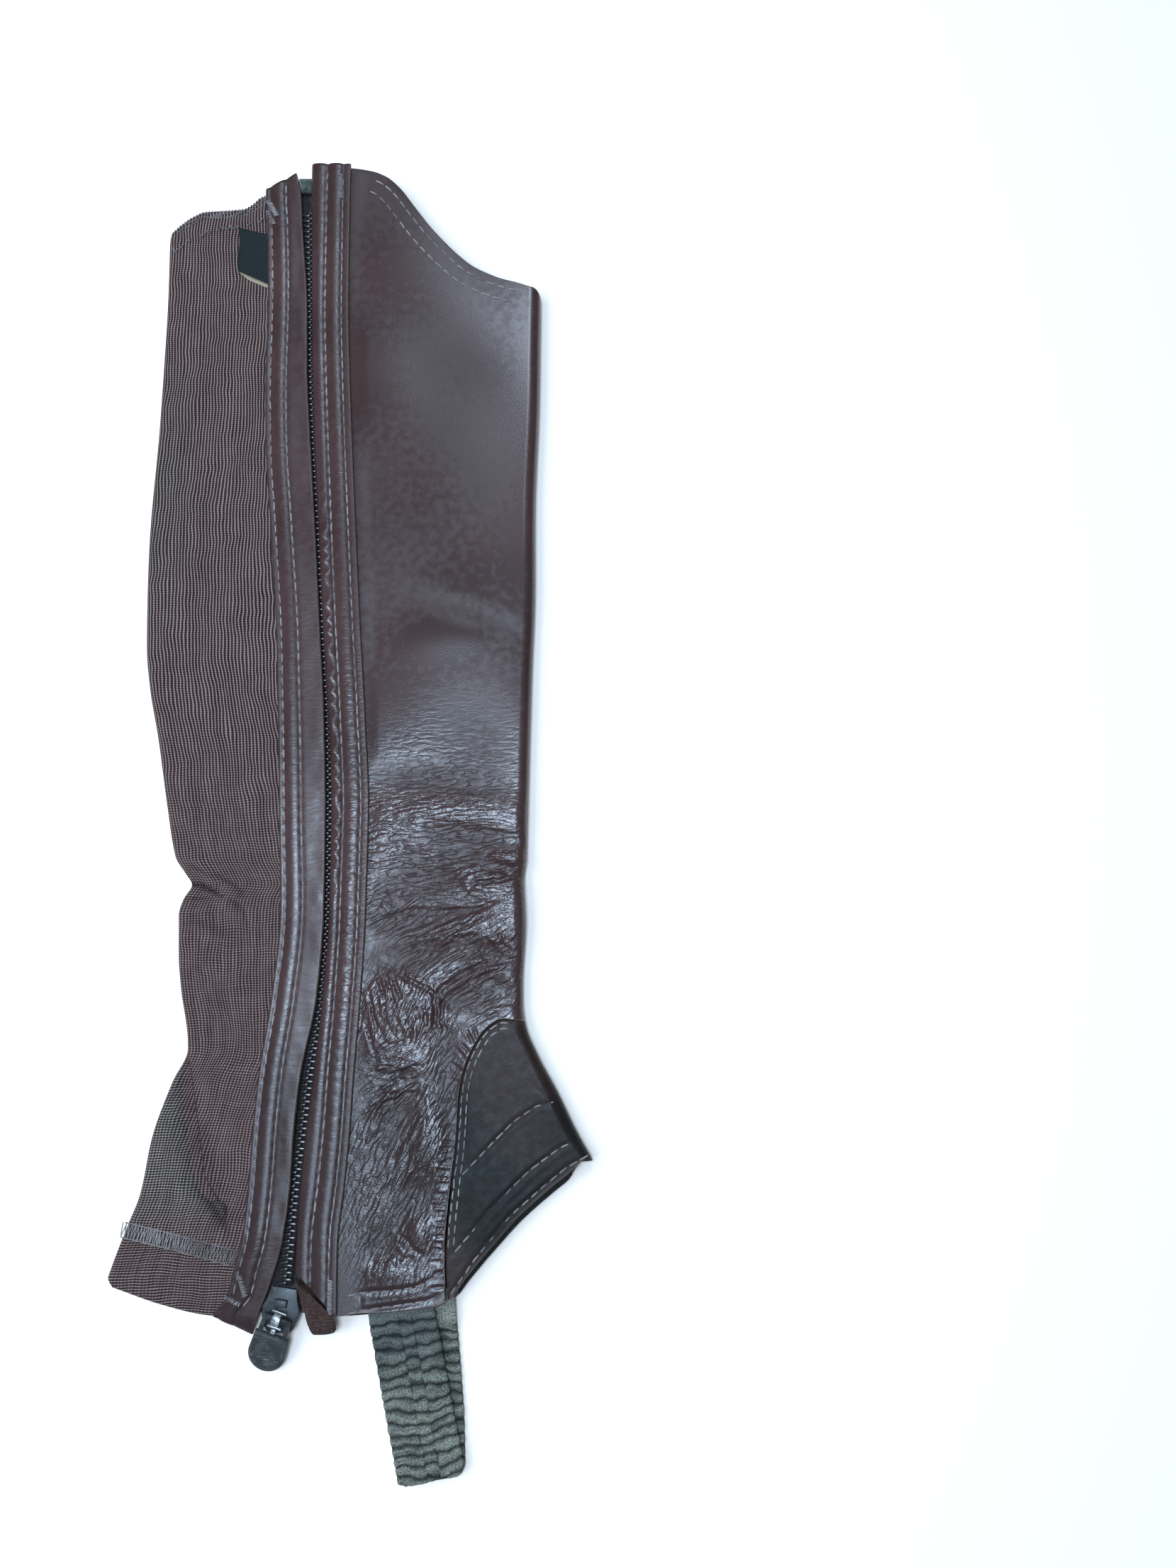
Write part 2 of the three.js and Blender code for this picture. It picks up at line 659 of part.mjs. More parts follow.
// Drawn with the rear edge on y = 0 and the nose towards -Y, then turned into place.
function sliderBody() {
  const half = SLIDER_PLAN.map(({ along, half: w }) => new THREE.Vector2(w, -along));
  const mirrored = SLIDER_PLAN.map(({ along, half: w }) => new THREE.Vector2(-w, -along));
  const outline = new THREE.Shape([...half, ...mirrored.reverse()]);
  const body = plate(outline, SLIDER.under, SLIDER.top);
  const last = SLIDER_PLAN[SLIDER_PLAN.length - 1].along;
  const slope = (SLIDER.top - SLIDER.noseTop) / (last - SLIDER.noseStart);
  const beyond = 2;
  const wedge = new THREE.Shape([
    new THREE.Vector2(SLIDER.noseStart, SLIDER.top),
    new THREE.Vector2(last + beyond, SLIDER.noseTop - beyond * slope),
    new THREE.Vector2(last + beyond, SLIDER.top + beyond),
    new THREE.Vector2(SLIDER.noseStart, SLIDER.top + beyond),
  ]);
  const cutter = plate(wedge, -10, 10)
    .rotateX(Math.PI / 2)
    .rotateZ(-Math.PI / 2);
  return solidOf(body).subtract(solidOf(cutter));
}
const sliderSolid = geometryOf(sliderBody())
  .rotateZ(SLIDER.turn)
  .translate(SLIDER.rear[0], SLIDER.rear[1], 0);
const ringShape = new THREE.Shape();
ringShape.absarc(0, 0, BRIDGE.outer, 0, 2 * Math.PI);
const ringHole = new THREE.Path();
ringHole.absarc(0, 0, BRIDGE.inner, 0, 2 * Math.PI, true);
ringShape.holes.push(ringHole);
const bridge = plate(ringShape, -BRIDGE.width / 2, BRIDGE.width / 2, 8)
  .rotateY(Math.PI / 2)
  .rotateZ(TAB.turn)
  .translate(PIVOT.x, PIVOT.y, PIVOT.z);
add(
  "zip_slider",
  geometryOf(solidOf(sliderSolid).add(solidOf(bridge))),
  0x3c3f42,
  0.35,
  0.85,
);

// The tab is drawn pointing to -Y with its hinge bar along X through the origin.
const tabShape = new THREE.Shape();
tabShape.moveTo(TAB.shoulder, TAB.bar);
tabShape.lineTo(-TAB.shoulder, TAB.bar);
tabShape.lineTo(-TAB.shoulder - 0.3, -1);
tabShape.lineTo(-TAB.shoulder - 1.2, -TAB.waist);
tabShape.absarc(0, -(TAB.length - TAB.round), TAB.round, Math.PI, 2 * Math.PI);
tabShape.lineTo(TAB.shoulder + 1.2, -TAB.waist);
tabShape.lineTo(TAB.shoulder + 0.3, -1);
const tabWindow = new THREE.Path();
tabWindow.moveTo(-TAB.windowHalf, -TAB.bar - 0.2);
tabWindow.lineTo(TAB.windowHalf, -TAB.bar - 0.2);
tabWindow.lineTo(TAB.windowHalf, -TAB.windowEnd);
tabWindow.lineTo(-TAB.windowHalf, -TAB.windowEnd);
tabShape.holes.push(tabWindow);
const pullTab = add(
  "pull_tab",
  plate(tabShape, -TAB.thickness / 2, TAB.thickness / 2, 9),
  0x3b3d40,
  0.55,
);
pullTab.rotation.set(TAB.tilt, 0, TAB.turn, "ZXY");
pullTab.position.set(PIVOT.x, PIVOT.y, PIVOT.z);

// ---- suede end of the zip flap, rolled over below the right band ---------------------------

// Upper edge (a) and lower edge (b) of the rolled flap, with the heights of their undersides.
const FLAP_END = [
  { along: 0, ax: -19.2, ay: -193.6, az: 8.1, bx: -19.4, by: -196, bz: 6.4 },
  { along: 0.3, ax: -14.2, ay: -198, az: 8.5, bx: -17, by: -203, bz: 5.4 },
  { along: 0.6, ax: -9.2, ay: -202.6, az: 8.5, bx: -15.2, by: -210, bz: 4.4 },
  { along: 0.8, ax: -5.8, ay: -206.2, az: 8.1, bx: -12.6, by: -214.6, bz: 3.4 },
  { along: 1, ax: -3, ay: -210.4, az: 6.2, bx: -5.6, by: -214.4, bz: 3.4 },
];
const FLAP_BULGE = 0.8; // how far the roll swells between its edges
const flap = Object.fromEntries(
  ["ax", "ay", "az", "bx", "by", "bz"].map((column) => [column, curve(FLAP_END, "along", column)]),
);
const flapGrid = (raised) =>
  steps(8).map((t) =>
    steps(4).map((g) => [
      mix(flap.ax(t), flap.bx(t), g),
      mix(flap.ay(t), flap.by(t), g),
      mix(flap.az(t), flap.bz(t), g) + FLAP_BULGE * Math.sin(Math.PI * g) + raised,
    ]),
  );
add("zip_flap_end", wallBetween(flapGrid(BAND), flapGrid(0)), 0x4d2f27, 0.95);

// ---- label: a blank folded loop caught in the band's seam ----------------------------------

const LABEL = { thickness: 1.2, outer: -61, top: [237.4, 233.7], bottom: [217.3, 211] };
add(
  "side_label",
  stripWall({
    across: 3,
    rowSteps: 4,
    from: () => LABEL.outer,
    to: (y) => bandEdge(y) - 2 * GAP,
    bottom: (g) => mix(LABEL.bottom[0], LABEL.bottom[1], g),
    top: (g) => mix(LABEL.top[0], LABEL.top[1], g),
    under: (x, y) => {
      const share = (x - calfFold(y) - CALF_ROUND) / knitReach(y);
      return knitHeight(share, y) + GAP;
    },
    thickness: LABEL.thickness,
  }),
  0x22272a,
  0.85,
);

// ---- foot strap: gathered elastic, folded, its two ends tucked into the front and back hems -

const STRAP = { half: 12.4, thickness: 1.4, pitch: 4.1, gather: 0.45 };
// lean: how far, in degrees, the strap's width turns from X, square to the way it runs.
const STRAP_RUN = [
  { x: 18.7, y: -198.5, z: 4.5, lean: 10 },
  { x: 20.4, y: -208, z: 4.5, lean: 11 },
  { x: 24, y: -225, z: 4.2, lean: 11.5 },
  { x: 28.2, y: -245, z: 3.5, lean: 11.5 },
  { x: 30.6, y: -256, z: 3.15, lean: 11.5 },
  { x: 32, y: -263.1, z: 3.05, lean: 11.5 },
  { x: 32.3, y: -265, z: 1.95, lean: 11.5 },
  { x: 32.3, y: -263.1, z: 0.7, lean: 11.5 },
  { x: 31.4, y: -245, z: 0.7, lean: 7 },
  { x: 29.6, y: -225, z: 0.7, lean: 5 },
  { x: 28.4, y: -214.2, z: 0.7, lean: 4 },
  { x: 28, y: -209.4, z: 2.8, lean: 4 },
  { x: 27, y: -198.5, z: 2.8, lean: 4 },
];
const STRAP_ENDS = 10; // the length at each end that lies flat in its hem

// The run in short steps: place, distance along, lean, and the face's normal in YZ.
function strapStations() {
  const stations = [];
  let travelled = 0;
  STRAP_RUN.slice(1).forEach((to, i) => {
    const from = STRAP_RUN[i];
    const length = Math.hypot(to.y - from.y, to.z - from.z);
    const count = Math.max(1, Math.round(length / (STRAP.pitch / 3)));
    for (let n = 0; n < count; n += 1) {
      const t = n / count;
      const [x, y, z, lean] = ["x", "y", "z", "lean"].map((key) => mix(from[key], to[key], t));
      stations.push({ x, y, z, lean, along: travelled + t * length });
    }
    travelled += length;
  });
  stations.push({ ...STRAP_RUN[STRAP_RUN.length - 1], along: travelled });
  return stations.map((station, i) => {
    const before = stations[Math.max(0, i - 1)];
    const after = stations[Math.min(stations.length - 1, i + 1)];
    const dy = after.y - before.y;
    const dz = after.z - before.z;
    const length = Math.hypot(dy, dz);
    return { ...station, ny: dz / length, nz: -dy / length, total: travelled };
  });
}
function strapGrid(face) {
  return strapStations().map(({ x, y, z, lean, along, total, ny, nz }) => {
    const gathered =
      ease(STRAP_ENDS - 2, STRAP_ENDS, along) * ease(STRAP_ENDS + 6, STRAP_ENDS + 8, total - along);
    const wave = 0.5 - 0.5 * Math.cos((2 * Math.PI * along) / STRAP.pitch);
    const swell = face * nz > 0.2 ? gathered * STRAP.gather * wave : 0;
    const out = face * (STRAP.thickness / 2 + swell);
    const turn = (lean * Math.PI) / 180;
    return [-1, -0.35, 0.35, 1].map((g) => {
      const [across, up] = [g * STRAP.half * Math.cos(turn), g * STRAP.half * Math.sin(turn)];
      return [x + across, y + up + ny * out, z + nz * out];
    });
  });
}
add("foot_strap", wallBetween(strapGrid(1), strapGrid(-1)), 0x3a403c, 0.95);

export default group;
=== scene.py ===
# One leather and stretch-knit half chap, closed by its zip and laid flat with the zip upwards.
# Metres, +Z up, +X towards the shin fold, +Y towards the knee. The surface it lies on is z = 0.
import math
import bmesh
import bpy
import numpy as np
from mathutils import Matrix, Vector


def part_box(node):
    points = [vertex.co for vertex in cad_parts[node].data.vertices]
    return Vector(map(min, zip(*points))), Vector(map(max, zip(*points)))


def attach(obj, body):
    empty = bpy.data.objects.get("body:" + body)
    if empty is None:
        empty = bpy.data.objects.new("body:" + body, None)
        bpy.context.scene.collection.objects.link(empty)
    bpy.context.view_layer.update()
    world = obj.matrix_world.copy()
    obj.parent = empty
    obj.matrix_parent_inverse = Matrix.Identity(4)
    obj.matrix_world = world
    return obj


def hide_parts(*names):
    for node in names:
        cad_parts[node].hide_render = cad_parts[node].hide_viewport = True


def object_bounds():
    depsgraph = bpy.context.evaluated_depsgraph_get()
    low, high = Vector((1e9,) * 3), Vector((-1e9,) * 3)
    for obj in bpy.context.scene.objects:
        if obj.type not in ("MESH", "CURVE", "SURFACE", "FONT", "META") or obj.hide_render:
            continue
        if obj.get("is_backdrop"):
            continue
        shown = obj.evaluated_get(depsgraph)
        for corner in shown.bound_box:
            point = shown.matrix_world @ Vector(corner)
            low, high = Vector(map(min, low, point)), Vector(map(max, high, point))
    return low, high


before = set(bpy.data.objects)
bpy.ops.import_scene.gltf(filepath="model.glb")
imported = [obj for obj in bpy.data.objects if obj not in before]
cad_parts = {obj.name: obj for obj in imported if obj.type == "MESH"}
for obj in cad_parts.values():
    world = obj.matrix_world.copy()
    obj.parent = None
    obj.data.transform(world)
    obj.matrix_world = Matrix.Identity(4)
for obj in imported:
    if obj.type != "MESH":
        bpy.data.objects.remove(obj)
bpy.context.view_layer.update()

# ==== viewing place, light and the surface ==================================================
# The chap lies on a plain white table, on the left of the place its pair took up. The camera
# looks down between the two, a little from the hem end. Three soft lights overhead mirror in the
# leather, and a wide one on the calf side only fills the shade.

CAMERA_TILT = math.radians(9.1)
CAMERA_DISTANCE = 0.4734
AIM = (0.0905, -0.0053, 0.004)
PALE_SKY, CLEAR_SKY, WINDOW_SKY = (0.78, 0.89, 1.0), (0.63, 0.8, 1.0), (0.66, 0.81, 1.0)
TABLE_WHITE = (0.96, 0.88, 0.8)


def linked(name, data):
    """A new object that shows this data."""
    made = bpy.data.objects.new(name, data)
    bpy.context.scene.collection.objects.link(made)
    return made


camera = linked("camera", bpy.data.cameras.new("camera"))
camera.data.sensor_width = 36
camera.data.lens = 27.03
camera.data.clip_start = 0.01
camera.location = (
    AIM[0],
    AIM[1] - CAMERA_DISTANCE * math.sin(CAMERA_TILT),
    AIM[2] + CAMERA_DISTANCE * math.cos(CAMERA_TILT),
)
camera.rotation_euler = (CAMERA_TILT, 0, 0)
bpy.context.scene.camera = camera
bpy.context.scene.view_settings.view_transform = "Standard"

sky = bpy.data.worlds.new("soft_sky")
sky.use_nodes = True
background = sky.node_tree.nodes["Background"]
background.inputs["Color"].default_value = (*PALE_SKY, 1)
background.inputs["Strength"].default_value = 0.26
bpy.context.scene.world = sky


def soft_light(name, place, across, along, power, colour):
    """A wide soft light at a place, its longer side along the chap, leaning to face it."""
    data = bpy.data.lights.new(name, "AREA")
    data.shape, data.size, data.size_y = "RECTANGLE", across, along
    data.energy, data.color = power, colour
    light = linked(name, data)
    light.location = place
    light.rotation_euler = (0, math.atan2(place[0], place[2]), 0)
    return light


soft_light("window", (0.1, 0.83, 1.0), 0.24, 0.38, 4.2, WINDOW_SKY)
soft_light("skylight", (-0.025, -0.02, 1.0), 0.3, 0.22, 6.4, CLEAR_SKY)
soft_light("doorway", (-0.025, -0.4, 1.0), 0.34, 0.2, 1.8, CLEAR_SKY)
far_window = soft_light("far_window", (-1.1, 0.0, 1.0), 1.3, 1.7, 27.0, PALE_SKY)
far_window.visible_glossy = False


def new_material(name, base, roughness, **sockets):
    """A material whose even values sit on the shader's own sockets; returns its node tree."""
    material = bpy.data.materials.new(name)
    material.use_nodes = True
    shader = material.node_tree.nodes["Principled BSDF"]
    shader.inputs["Base Color"].default_value = (*base, 1)
    shader.inputs["Roughness"].default_value = roughness
    for socket, value in sockets.items():
        shader.inputs[socket.replace("_", " ")].default_value = value
    return material, material.node_tree


def add_node(tree, kind, want=0, sockets=None, **settings):
    """Adds a node, fills or links its sockets, and returns the wanted output."""
    made = tree.nodes.new("ShaderNode" + kind)
    for key, value in settings.items():
        setattr(made, key, value)
    for key, value in (sockets or {}).items():
        if isinstance(value, bpy.types.NodeSocket):
            tree.links.new(value, made.inputs[key])
        else:
            made.inputs[key].default_value = value
    return made.outputs[want]


def maths(tree, operation, a, b=0.0, c=0.0):
    return add_node(tree, "Math", sockets={0: a, 1: b, 2: c}, operation=operation)


def times(tree, a, b):
    return maths(tree, "MULTIPLY", a, b)


def plus(tree, a, b):
    return maths(tree, "ADD", a, b)


def rest_of(tree, share):
    """What is left of 1."""
    return maths(tree, "SUBTRACT", 1.0, share)


def mixed(tree, factor, a, b):
    """A colour between a and b."""
    a, b = ((*v, 1) if isinstance(v, tuple) and len(v) == 3 else v for v in (a, b))
    return add_node(tree, "Mix", 2, {0: factor, 6: a, 7: b}, data_type="RGBA")


def coated(tree, base, *coats):
    """A colour under coats of (share, colour), laid one after another."""
    for share, colour in coats:
        base = mixed(tree, share, base, colour)
    return base


def toned(colour, by):
    return tuple(v * by for v in colour)


def mapped(tree, place, scale, turn=0.0):
    """A place turned and stretched before a pattern is read at it."""
    sockets = {"Vector": place, "Rotation": (0, 0, turn), "Scale": (*scale, 1)}
    return add_node(tree, "Mapping", sockets=sockets)


def spread(tree, value, low, high, to_low=0.0, to_high=1.0):
    """A value's range carried over to another one, smoothly."""
    sockets = {0: value, 1: low, 2: high, 3: to_low, 4: to_high}
    return add_node(tree, "MapRange", sockets=sockets, interpolation_type="SMOOTHSTEP")


def noise(tree, place, scale, detail=2.0, roughness=0.5, distortion=0.0):
    sockets = {"Vector": place, "Scale": scale, "Detail": detail}
    sockets.update({"Roughness": roughness, "Distortion": distortion})
    return add_node(tree, "TexNoise", sockets=sockets)


def cells(tree, place, scale, feature="DISTANCE_TO_EDGE", randomness=1.0):
    sockets = {"Vector": place, "Scale": scale, "Randomness": randomness}
    return add_node(tree, "TexVoronoi", sockets=sockets, feature=feature)


def to_shader(tree, base=None, roughness=None, heights=()):
    """Links colour and roughness, and stacks (height, depth in metres) bumps on the normal."""
    shader = tree.nodes["Principled BSDF"]
    if base is not None:
        tree.links.new(base, shader.inputs["Base Color"])
    if roughness is not None:
        tree.links.new(roughness, shader.inputs["Roughness"])
    normal = None
    for height, depth in heights:
        sockets = {"Strength": 1.0, "Distance": depth, "Height": height}
        if normal is not None:
            sockets["Normal"] = normal
        normal = add_node(tree, "Bump", sockets=sockets)
    if normal is not None:
        tree.links.new(normal, shader.inputs["Normal"])


table_top, tree = new_material("white_table", TABLE_WHITE, 0.9)
bpy.ops.mesh.primitive_plane_add(size=6, location=(0, 0, 0))
floor = bpy.context.object
floor.name = "table_surface"
floor.data.materials.append(table_top)
floor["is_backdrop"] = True

# ==== leather panel =========================================================================
# Cowhide about 1.8 mm thick with its backing: the front of the chap from the zip to the shin,
# folded round the shin and carried across the back to a hidden seam. Cut from one hide and
# creased by wear at the ankle, where it is cracked and polished.

MIDDLE = (0.63, 0.4, 0)  # the solids' shift that centres the chap, in millimetres
LEATHER = 1.8
SHIN_HEIGHT = 7.5
ZIP_DROP = 1.4
SHIN_ROUND = 4.5
PANEL_SETBACK = 3.8
BACK_REACH = 1.2
BACK_HEM_DROP = 2
GAP = 0.3
STRAP_LIFT = 0.9
WEAR_LIMIT = 1.4  # the wall never folds deeper than this
FURROW_WIDTH, FURROW_DEPTH = 0.9, 0.45  # what a sewn row presses into the leather


def table(rows):
    """A smooth curve through (place, value) rows that never overshoots them."""
    at, value = np.array(sorted(rows), float).T
    slope = np.diff(value) / np.diff(at)
    tangent = np.concatenate([slope[:1], np.zeros(len(slope) - 1), slope[-1:]])
    before, after = slope[:-1], slope[1:]
    same = before * after > 0
    total = np.where(same, before + after, 1)
    tangent[1:-1] = np.where(same, 2 * before * after / total, 0)

    def curve(place):
        place = np.clip(place, at[0], at[-1])
        i = np.clip(np.searchsorted(at, place, side="right") - 1, 0, len(at) - 2)
        span = at[i + 1] - at[i]
        u = (place - at[i]) / span
        return (
            value[i] * (1 + 2 * u) * (1 - u) ** 2
            + tangent[i] * span * u * (1 - u) ** 2
            + value[i + 1] * u * u * (3 - 2 * u)
            + tangent[i + 1] * span * u * u * (u - 1)
        )

    return curve


def mix(a, b, t):
    return a + (b - a) * t


def bell(away, width):
    """1 where away is 0, fading to 0 on both sides."""
    return np.exp(-((away / width) ** 2))


def ease(start, end, value):
    t = np.clip((value - start) / (end - start), 0, 1)
    return t * t * (3 - 2 * t)


shin_fold = table(
    [(205, 69.6), (159, 69.2), (108, 67.8), (76, 68), (41, 67), (-15, 65.8), (-36, 65.4)]
    + [(-43, 64.5), (-62, 65.3), (-84, 64.3), (-92, 64.4), (-101, 65.7), (-111.5, 70.1)]
    + [(-126, 78.1), (-142, 86.2), (-151, 91.5), (-210, 123.5)]
)
# Along the zip: y, the left band's outer edge, its edge by the teeth, the teeth's middle, the
# right band's edge by the teeth, and its raw outer edge.
ZIP_LINES = [
    (268, -50.6, -38.2, -31.9, -30.6, -13.5),
    (252, -50, -34.6, -31.7, -30.3, -13.3),
    (240, -49, -33.7, -31.2, -29.8, -13.1),
    (200, -47, -30, -29.3, -28.2, -12.3),
    (170, -46.6, -28.9, -27.8, -26.8, -10.8),
    (140, -45.3, -26.5, -25.6, -24.9, -8.9),
    (100, -41.5, -22.9, -22.1, -21.7, -6.1),
    (60, -37.6, -19.7, -18.9, -18.5, -3.1),
    (20, -35.1, -16.4, -15.6, -14.8, 0.2),
    (-20, -33, -14.5, -13.9, -12.4, 2.7),
    (-60, -31.1, -13.8, -13.2, -12, 2.6),
    (-90, -33.2, -15.4, -14.3, -13.4, 1.6),
    (-120, -36.9, -20.6, -18.2, -15.8, -0.1),
    (-140, -38.2, -22.2, -19.9, -17.7, -0.9),
    (-160, -38.9, -22.9, -21.9, -19.2, -2.3),
    (-180, -40.6, -25, -23, -19.9, -4),
    (-192, -43.6, -28, -23.7, -20, -3.9),
    (-200, -45.4, -30.7, -24.2, -20, -3.7),
    (-208, -50.8, -33.7, -24.8, -20, -3.6),
    (-215, -52, -36, -25, -20, -3.6),
]
band_edge, left_edge, zip_middle, right_edge, raw_edge = (
    table([(row[0], row[k]) for row in ZIP_LINES]) for k in range(1, 6)
)
# Across the leather, share 0 is the shin fold and 1 the edge by the zip.
knee_edge = table(
    [(0, 209.4), (0.06, 211.3), (0.14, 213.4), (0.207, 216), (0.274, 219.4), (0.341, 224.7)]
    + [(0.408, 231.2), (0.475, 238.6), (0.541, 247.2), (0.61, 256.2), (0.678, 262)]
    + [(0.746, 264.7), (0.841, 266.2), (1, 267)]
)
CAP_SHARE = 0.574  # where the cap runs out at the hem
cap_seam = table(
    [(0, -98.8), (0.05, -98.4), (0.118, -100.4), (0.222, -107.2), (0.319, -117.1)]
    + [(0.38, -127), (0.432, -142.4), (0.49, -159.1), (0.546, -179.5), (0.567, -193.1)]
    + [(CAP_SHARE, -202.6)]
)
hem_line = table(
    [(0, -151.4), (0.031, -153.7), (0.158, -161.7), (0.29, -171.3), (0.418, -183.6)]
    + [(0.502, -193.1), (0.562, -200.8), (0.6, -203.4), (0.666, -204.6), (0.739, -205.6)]
    + [(0.801, -206), (0.88, -207), (1, -207)]
)


def leather_reach(y):
    return shin_fold(y) - SHIN_ROUND - zip_middle(y) - PANEL_SETBACK


def leather_x(share, y):
    return shin_fold(y) - SHIN_ROUND - share * leather_reach(y)


def slider_room(share, y):
    """The front's edge by the zip steps back to leave the slider room."""
    return 4 * ease(0.9, 1, share) * ease(-188, -195, y)


def leather_share(x, y):
    return (shin_fold(y) - SHIN_ROUND - x) / leather_reach(y)


def leather_top(share, y):
    """Height of the front's grain side; the strap's two ends lift it at the hem."""
    over_strap = ease(0.35, 0.58, share) * (1 - ease(0.88, 0.98, share))
    return SHIN_HEIGHT - ZIP_DROP * share + STRAP_LIFT * over_strap * ease(-160, -196, y)


# The largest folds, as x, y at each end, width and rise: soft troughs and ridges.
LEATHER_FOLDS = [
    (18, 72, 62, 57, 6, -0.4),
    (14, 52, 60, 62, 8, 0.25),
    (8, -2, 60, -10, 6, -0.7),
    (12, -18, 62, -16, 7, 0.8),
    (28, -24, 69, -31, 4, -1.0),
    (40, -37, 69, -36, 3, 0.8),
    (34, -33, 69, -43, 3, -1.1),
    (30, -38, 64, -52, 5, 0.7),
    (8, -48, 40, -40, 5, -0.8),
    (6, -62, 48, -58, 4, -0.9),
    (30, -66, 66, -60, 6, 1.0),
    (6, -78, 36, -70, 5, -1.0),
    (40, -68, 68, -79, 4, -0.9),
    (8, -92, 30, -98, 9, 1.0),
    (44, -82, 67, -93, 4, -1.0),
    (30, -92, 52, -90, 5, -0.7),
    (34, -100, 40, -150, 5, -0.8),
    (8, -110, 30, -116, 5, 0.5),
    (8, -150, 26, -122, 6, -0.7),
    (26, -128, 32, -160, 6, 0.7),
    (12, -184, 34, -152, 5, -0.7),
    (22, -178, 30, -176, 6, 1.0),
    (10, -192, 26, -193, 5, 0.8),
    (2, -186, 16, -178, 5, -0.6),
]


def fold_rise(folds, x, y):
    total = np.zeros(np.shape(x))
    for x0, y0, x1, y1, width, rise in folds:
        dx, dy = x1 - x0, y1 - y0
        along = np.clip(((x - x0) * dx + (y - y0) * dy) / (dx * dx + dy * dy), 0, 1)
        away = np.hypot(x - x0 - along * dx, y - y0 - along * dy)
        fade = 1.6 * np.sin(np.pi * mix(0.12, 0.88, along))
        total += rise * fade * bell(away, width)
    return total


def run_along(line):
    """Distance along a line of (x, y) at each of its points."""
    return np.concatenate([[0], np.cumsum(np.hypot(*np.diff(line, axis=0).T))])


def point_on(line, run, at):
    """The points of a line at distances along it."""
    return np.stack([np.interp(at, run, column) for column in np.transpose(line)], -1)


def beside(line):
    """The unit direction to the left of a line of (x, y) at each of its points."""
    ahead = np.gradient(line, axis=0)
    left = np.stack([-ahead[:, 1], ahead[:, 0]], 1)
    return left / np.hypot(*left.T)[:, None]


def crease_height(creases, x, y):
    """Creases are (points, width, depth): a narrow trough with a low swell on each side."""
    total = np.zeros(np.shape(x))
    for points, width, depth in creases:
        points = np.asarray(points, float)
        low, high = points.min(0) - 4 * width, points.max(0) + 4 * width
        near = (x > low[0]) & (x < high[0]) & (y > low[1]) & (y < high[1])
        if not near.any():
            continue
        px, py = x[near], y[near]
        length = np.hypot(*np.diff(points, axis=0).T)
        run = run_along(points)
        nearest = np.full(px.shape, 1e9)
        along = np.zeros(px.shape)
        for k, (a, b) in enumerate(zip(points[:-1], points[1:])):
            dx, dy = b - a
            s = np.clip(((px - a[0]) * dx + (py - a[1]) * dy) / length[k] ** 2, 0, 1)
            away = np.hypot(px - a[0] - s * dx, py - a[1] - s * dy)
            along = np.where(away < nearest, (run[k] + s * length[k]) / run[-1], along)
            nearest = np.minimum(away, nearest)
        fade = np.sin(np.pi * mix(0.05, 0.95, along)) ** 0.6
        trough = bell(nearest, width)
        swell = bell(nearest - 2 * width, 1.1 * width)
        total[near] += depth * fade * (0.42 * swell - trough)
    return total


def crease_family(seed, guide, count, spacing, width, depth, fan=1.0, wander=0.5):
    """Creases beside a guide line, uneven in place, length and depth; fan widens the far end."""
    draw = np.random.default_rng(seed)
    guide = np.asarray(guide, float)
    run = run_along(guide)
    family = []
    for n in range(count):
        offset = (n - (count - 1) / 2 + draw.uniform(-0.35, 0.35)) * spacing
        start = draw.uniform(0, 0.35)
        end = draw.uniform(0.65, 1)
        steps = np.linspace(start, end, 7)
        line = point_on(guide, run, steps * run[-1])
        side = offset * mix(1, fan, steps) + draw.normal(0, wander, 7)
        line = line + beside(line) * side[:, None]
        family.append((line, width * draw.uniform(0.7, 1.25), depth * draw.uniform(0.45, 1.15)))
    return family


